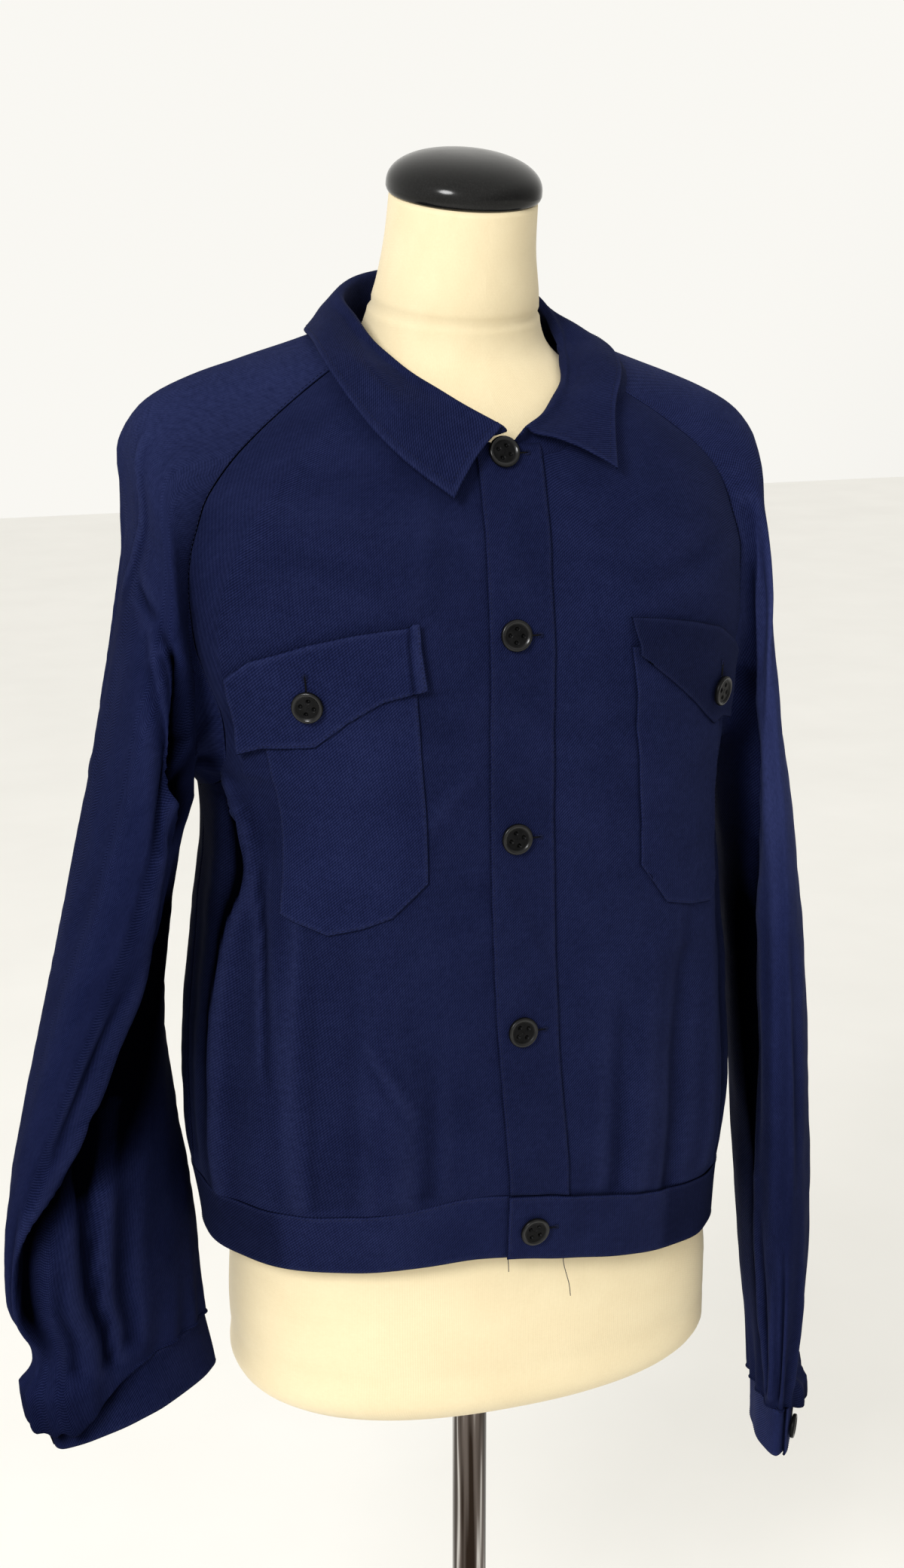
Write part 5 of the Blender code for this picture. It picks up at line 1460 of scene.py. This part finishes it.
def build_form():
    """The jersey form with its cap; pole and base keep their solids."""
    piece("form_jersey_cover", form_mesh(), MATERIALS["jersey"], ["form_body"])
    curve = [(CAP_RADIUS * math.sin(a) ** 0.86, CAP_HEIGHT * math.cos(a) ** 0.9 + 0.005)
             for a in np.linspace(0, math.pi / 2, 26)[1:-1]]
    edge = [(CAP_RADIUS * share, z) for share, z in ((1, 0.0046), (1, 0.0030), (0.985, 0.0010),
                                                     (0.97, 0.0), (0, 0.0))]
    cap = turned_mesh("neck_cap_turned", [(0, CAP_HEIGHT + 0.005)] + curve + edge, 96)
    height, centre_x, centre_y = FORM[-1, :3]
    cap.transform(Matrix.Translation((centre_x, centre_y, height + SEAM_GAP * 1.5))
                  @ Matrix.Rotation(math.radians(FORM[-1, 7]), 4, "X"))
    piece("neck_cap_turned", cap, MATERIALS["cap"], ["neck_cap"])
    for node, look in (("pole", "chrome"), ("base", "base")):
        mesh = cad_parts[node].data
        mesh.materials.clear()
        mesh.materials.append(MATERIALS[look])


# ---- materials ------------------------------------------------------------------------------
class Value:
    """A node's output, for sums and products."""

    def __init__(self, look, socket):
        self.look, self.socket = look, socket

    def __add__(self, other):
        return self.look.math("ADD", self, other)

    def __sub__(self, other):
        return self.look.math("SUBTRACT", self, other)

    def __rsub__(self, other):
        return self.look.math("SUBTRACT", other, self)

    def __mul__(self, other):
        return self.look.math("MULTIPLY", self, other)


class Look:
    """A node material under way."""

    def __init__(self, name, **sockets):
        self.made = bpy.data.materials.new(name)
        self.made.use_nodes = True
        self.tree = self.made.node_tree
        self.shader = self.tree.nodes["Principled BSDF"]
        self.set(**sockets)

    def put(self, value, socket):
        """A number or colour on a socket, or a link to it."""
        if isinstance(value, Value):
            self.tree.links.new(value.socket, socket)
        else:
            socket.default_value = (*value, 1.0) if isinstance(value, tuple) else value

    def set(self, **sockets):
        """Values on the shader's own sockets."""
        for key, value in sockets.items():
            self.put(value, self.shader.inputs[key.replace("_", " ")])

    def node(self, kind, output, **values):
        """An output of a new node with these settings and inputs."""
        made = self.tree.nodes.new(kind)
        for key, value in values.items():
            if hasattr(made, key):
                setattr(made, key, value)
            else:
                self.put(value, made.inputs[key.replace("_", " ")])
        return Value(self, made.outputs[output])

    def math(self, operation, *inputs):
        made = self.tree.nodes.new("ShaderNodeMath")
        made.operation = operation
        for value, socket in zip(inputs, made.inputs):
            self.put(value, socket)
        return Value(self, made.outputs[0])

    def on_cloth(self):
        """The place on the cloth, and its two parts."""
        place = self.node("ShaderNodeUVMap", "UV", uv_map="cloth")
        return place, *(self.node("ShaderNodeSeparateXYZ", part, Vector=place) for part in "XY")

    def on_object(self):
        return self.node("ShaderNodeTexCoord", "Object")

    def attribute(self, name):
        return self.node("ShaderNodeAttribute", "Fac", attribute_name=name)

    def noise(self, place, scale, detail=3.0, rough=0.55):
        return self.node("ShaderNodeTexNoise", "Fac", Vector=place, Scale=scale, Detail=detail,
                         Roughness=rough)

    def ramp(self, source, *stops):
        made = self.tree.nodes.new("ShaderNodeValToRGB")
        self.put(source, made.inputs["Fac"])
        ramp = made.color_ramp
        while len(ramp.elements) < len(stops):
            ramp.elements.new(0.5)
        for element, (at, colour) in zip(ramp.elements, stops):
            element.position = at
            element.color = (*colour, 1.0)
        return Value(self, made.outputs["Color"])

    def mix(self, share, a, b):
        made = self.tree.nodes.new("ShaderNodeMix")
        made.data_type = "RGBA"
        for value, index in ((share, 0), (a, 6), (b, 7)):
            self.put(value, made.inputs[index])
        return Value(self, made.outputs[2])

    def bump(self, height, strength, distance):
        self.set(Normal=self.node("ShaderNodeBump", "Normal", Height=height, Strength=strength,
                                  Distance=distance))


TWILL_PITCH = 0.00140    # from one diagonal rib of the twill to the next
WALE_PITCH = 0.0011      # from one column of the knit's loops to the next
COURSE_PITCH = 0.0009    # and from row to row
NAVY = (0.0050, 0.0074, 0.0320)
NAVY_LIGHT = (0.020, 0.026, 0.080)
# colour of the painted shade in creases, behind folds and at seams
NAVY_PAINTED_SHADE = (0.0003, 0.0004, 0.0012)


def twill(name, tone=1.0, gloss=0.03):
    """Navy twill: diagonal ribs with uneven yarns, a little faded where it rubs; lighter where
    light is painted on, and darker with less sheen where shade is painted on.
    """
    look = Look(name, Roughness=0.90, Sheen_Roughness=0.50, Sheen_Tint=(0.30, 0.38, 0.80))
    place, u, v = look.on_cloth()
    uneven = look.noise(place, 700.0, 2.0) * 1.3
    across = (u - v) * (2 * math.pi / TWILL_PITCH / 1.414)
    along = (u + v) * (2 * math.pi / TWILL_PITCH / 2.2)
    rib = look.math("SINE", across + uneven * 2.2)
    yarn = look.math("SINE", along + across * 0.5)
    weave = rib * 0.34 + yarn * 0.12 + 0.5
    slub = look.noise(place, 260.0, 4.0, 0.7)
    light = weave * 0.50 + slub * 0.34 + look.noise(place, 22.0, 5.0, 0.65) * 0.34
    wear_and_painted_shading = look.attribute("wear_and_painted_shading")
    # lighter from rubbing and from painted light
    rubbed_and_painted_light = look.math("MAXIMUM", wear_and_painted_shading, 0.0) * (slub * 1.3)
    # painted shade: towards the darkest navy, with less sheen
    painted_shade = look.math("MINIMUM", look.math("MINIMUM", wear_and_painted_shading, 0.0) * -0.80, 1.0)
    shine = (1.0 - painted_shade) * gloss
    dark = tuple(c * 0.45 * tone for c in NAVY)
    base = tuple(c * tone for c in NAVY)
    bright = tuple((a * 0.45 + b * 0.55) * tone for a, b in zip(NAVY, NAVY_LIGHT))
    colour = look.ramp(light, (0.30, dark), (0.58, base), (0.88, bright))
    colour = look.mix(rubbed_and_painted_light, colour, tuple(c * tone for c in NAVY_LIGHT))
    look.set(Sheen_Weight=shine, Specular_IOR_Level=shine,
             Base_Color=look.mix(painted_shade, colour, NAVY_PAINTED_SHADE))
    look.bump(weave + slub * 0.8, 0.55, 0.00035)
    return look.made


def jersey():
    """Cream cotton jersey: fine knit wales over a padded form."""
    look = Look("form_jersey_knit", Roughness=0.90, Sheen_Weight=0.20, Sheen_Roughness=0.5,
                Specular_IOR_Level=0.20)
    place, u, v = look.on_cloth()
    wale = look.math("SINE", u * (2 * math.pi / WALE_PITCH))
    course = look.math("SINE", v * (2 * math.pi / COURSE_PITCH) + wale * 1.2)
    fuzz = look.noise(place, 500.0, 3.0, 0.7)
    light = look.noise(place, 30.0, 4.0, 0.6) * 0.6 + fuzz * 0.4
    look.set(Base_Color=look.ramp(light, (0.25, (0.72, 0.60, 0.38)), (0.75, (0.79, 0.68, 0.45))))
    look.bump(wale * 0.3 + course * 0.2 + fuzz * 0.9, 0.35, 0.0003)
    return look.made


def speckled(name, colour, stops, bump, **sockets):
    """A look whose colour and relief come from noise on the object.

    The colour's noise is given as scale, detail and roughness; the relief's as the same,
    then its strength and depth.  Without noise of its own the relief takes the colour's.
    """
    look = Look(name, **sockets)
    place = look.on_object()
    grain = look.noise(place, *colour)
    look.set(Base_Color=look.ramp(grain, *stops))
    if bump:
        *own, strength, depth = bump
        look.bump(look.noise(place, *own) if own else grain, strength, depth)
    return look


def button_plastic():
    """Black plastic, polished by use on its raised rim."""
    look = speckled("button_plastic", (160.0, 4.0, 0.6),
                    ((0.35, (0.0012, 0.0013, 0.0015)), (0.70, (0.0045, 0.0045, 0.0050))),
                    (1400.0, 3.0, 0.7, 0.12, 0.0002))
    rim = look.attribute("rim")
    look.set(Specular_IOR_Level=rim * 0.28 + 0.09, Roughness=rim * -0.22 + 0.38)
    return look.made


def cap_gloss():
    """Black gloss with a little dust."""
    look = speckled("cap_gloss", (900.0, 5.0, 0.75),
                    ((0.45, (0.004, 0.004, 0.004)), (0.85, (0.014, 0.014, 0.014))),
                    (45.0, 2.0, 0.08, 0.0008), Specular_IOR_Level=0.24)
    look.set(Roughness=look.noise(look.on_object(), 60.0) * 0.16 + 0.10)
    return look.made


def chrome():
    """Bright metal whose colour carries painted reflections: dark and pale streaks along its
    length.
    """
    look = Look("pole_chrome_polish", Metallic=1.0)
    place = look.node("ShaderNodeMapping", "Vector", Vector=look.on_object())
    place.socket.node.inputs["Scale"].default_value = (1.0, 1.0, 0.03)
    painted_reflection_streak = look.noise(place, 85.0, 2.0, 0.5)
    look.set(Base_Color=look.ramp(painted_reflection_streak, (0.43, (0.022, 0.015, 0.011)),
                                  (0.51, (0.12, 0.10, 0.09)), (0.56, (0.55, 0.53, 0.51)),
                                  (0.61, (0.050, 0.040, 0.034))),
             Roughness=painted_reflection_streak * 0.14 + 0.08)
    return look.made


# ---- room, light and camera -----------------------------------------------------------------
# The photograph's camera, from its pixels: the focal length, the height of the picture and how
# far the form stands beside its middle.
CAMERA_FOCUS, PHOTO_HEIGHT, PHOTO_ASIDE = 2950, 2081, 26
SENSOR_HEIGHT = 24.0
CAMERA_PLACE = (-0.4993, -1.3720, 1.44)
CAMERA_TURN = math.radians(20.0) - math.atan(PHOTO_ASIDE / CAMERA_FOCUS)
CAMERA_PITCH = math.radians(14.8)
BRIGHT_SIDE = (-0.80, 0.30, 0.50)    # the room is bright on this side and dimmer across from it
DIM, BRIGHT = 0.35, 0.95
LAMP_PLACE, LAMP_AIM = (-1.9, -2.0, 2.6), (0.0, 0.0, 1.05)
LAMP_SIZE, LAMP_POWER = 0.9, 70.0
FLOOR_HALF = 9


def aim(made, place, direction):
    """Set a lamp or camera at a place, looking this way."""
    made.location = place
    made.rotation_euler = direction.to_track_quat("-Z", "Y").to_euler()


def build_room():
    """A pale floor, soft studio light and the photograph's camera."""
    f = FLOOR_HALF
    mesh = new_mesh("floor", [(-f, -f, 0), (f, -f, 0), (f, f, 0), (-f, f, 0)], [(0, 1, 2, 3)],
                    rounded=False)
    paper = speckled("floor_paper", (3.0, 3.0),
                     ((0.3, (0.90, 0.89, 0.86)), (0.7, (0.93, 0.92, 0.89))), (),
                     Roughness=0.95, Specular_IOR_Level=0.1)
    mesh.materials.append(paper.made)
    add_object("floor", mesh)

    world = bpy.data.worlds.new("studio")
    world.use_nodes = True
    nodes, links = world.node_tree.nodes, world.node_tree.links
    toward = nodes.new("ShaderNodeVectorMath")
    toward.operation = "DOT_PRODUCT"
    toward.inputs[1].default_value = BRIGHT_SIDE
    links.new(nodes.new("ShaderNodeTexCoord").outputs["Generated"], toward.inputs[0])
    level = nodes.new("ShaderNodeMapRange")
    level.interpolation_type = "SMOOTHSTEP"
    for socket, value in (("From Min", -0.85), ("From Max", -0.10), ("To Min", DIM),
                          ("To Max", BRIGHT)):
        level.inputs[socket].default_value = value
    links.new(toward.outputs["Value"], level.inputs["Value"])
    background = nodes["Background"]
    background.inputs["Color"].default_value = (1.0, 0.985, 0.94, 1.0)
    links.new(level.outputs["Result"], background.inputs["Strength"])
    bpy.context.scene.world = world
    bpy.context.scene.view_settings.view_transform = "Standard"

    lamp = bpy.data.lights.new("key", "AREA")
    lamp.shape, lamp.size, lamp.energy = "DISK", LAMP_SIZE, LAMP_POWER
    aim(add_object("key", lamp), LAMP_PLACE, Vector(LAMP_AIM) - Vector(LAMP_PLACE))

    data = bpy.data.cameras.new("photo_view")
    data.sensor_fit = "VERTICAL"
    data.sensor_height = SENSOR_HEIGHT
    data.lens = CAMERA_FOCUS / PHOTO_HEIGHT * SENSOR_HEIGHT
    camera = add_object("photo_view", data)
    level = math.cos(CAMERA_PITCH)
    aim(camera, CAMERA_PLACE, Vector((math.sin(CAMERA_TURN) * level,
                                      math.cos(CAMERA_TURN) * level, -math.sin(CAMERA_PITCH))))
    bpy.context.scene.camera = camera


def main():
    """All pieces, then the room."""
    grids = build_panels()
    for side in SIDES:
        look = "twill_" + side
        grid, uv, wear_with_painted_shading = sleeve_fine(side)
        grids["sleeve_" + side] = grid
        wear_with_painted_shading = wear_with_painted_shading + worn_edges_and_seam_shade(grid, ["high"], 0.4)
        grid, uv, wear_with_painted_shading = tuck_under("high", turn_in(grid, ["high"], closed=True), uv, wear_with_painted_shading,
                                    closed=True)
        shell("sleeve_" + side, grid, uv, wear_with_painted_shading, look, closed=True)
        grid, uv, shade = cuff_fine(side)
        grids["cuff_" + side] = grid
        shell("cuff_" + side, turn_in(grid, ALL_EDGES), uv,
              shade + worn_edges_and_seam_shade(grid, ALL_EDGES, 0.5), look)
        for kind in ("pocket", "flap"):
            name = kind + "_" + side
            grid, uv, strip = patch_fine(side, kind)
            grids[name] = grid
            shell(name, turn_in(grid, ALL_EDGES), uv, strip + worn_edges_and_seam_shade(grid, ALL_EDGES, 0.6),
                  "twill_painted_shade" if name == "flap_left" else "twill_painted_light")
    grid, uv, shade = band_fine()
    grids["waistband"] = grid
    shell("waistband", turn_in(grid, ALL_EDGES), uv, shade + worn_edges_and_seam_shade(grid, ALL_EDGES, 0.5),
          "twill_painted_light")
    grid, uv = collar_fine(grids)
    grids["collar"] = grid
    free = ("low", *ENDS)
    shell("collar", turn_in(grid, free), uv, worn_edges_and_seam_shade(grid, free, 0.6, 0.3))
    stitches, ties = Stitches(), Stitches()
    build_buttons(grids, stitches, ties)
    sew(grids, stitches)
    stitches.make("stitching", "thread")
    ties.make("button_threads", "button")
    build_form()
    build_room()


# Twill copies at other tones are painted light and shade: the far flap darker; the far front,
# pockets, near flap, waistband and far sleeve brighter.
MATERIALS = {
    "twill": twill("navy_twill_cloth"), "twill_painted_shade": twill("navy_twill_painted_shade", 0.8),
    "twill_painted_light": twill("navy_twill_painted_light", 1.14),
    "twill_right": twill("navy_twill_near_sleeve", 0.98, 0.008),
    "twill_left": twill("navy_twill_far_sleeve", 1.55),
    "thread": speckled("navy_thread", (1500.0, 2.0),
                       ((0.3, (0.0036, 0.0052, 0.0210)), (0.7, (0.0080, 0.0110, 0.0400))),
                       (0.5, 0.0002), Roughness=0.75, Specular_IOR_Level=0.10).made,
    "jersey": jersey(), "button": button_plastic(), "cap": cap_gloss(), "chrome": chrome(),
    "base": speckled("base_paint", (14.0, 4.0, 0.6),
                     ((0.3, (0.016, 0.016, 0.017)), (0.7, (0.030, 0.030, 0.031))),
                     (1100.0, 3.0, 0.6, 0.25, 0.0003), Roughness=0.55,
                     Specular_IOR_Level=0.4).made,
}
main()
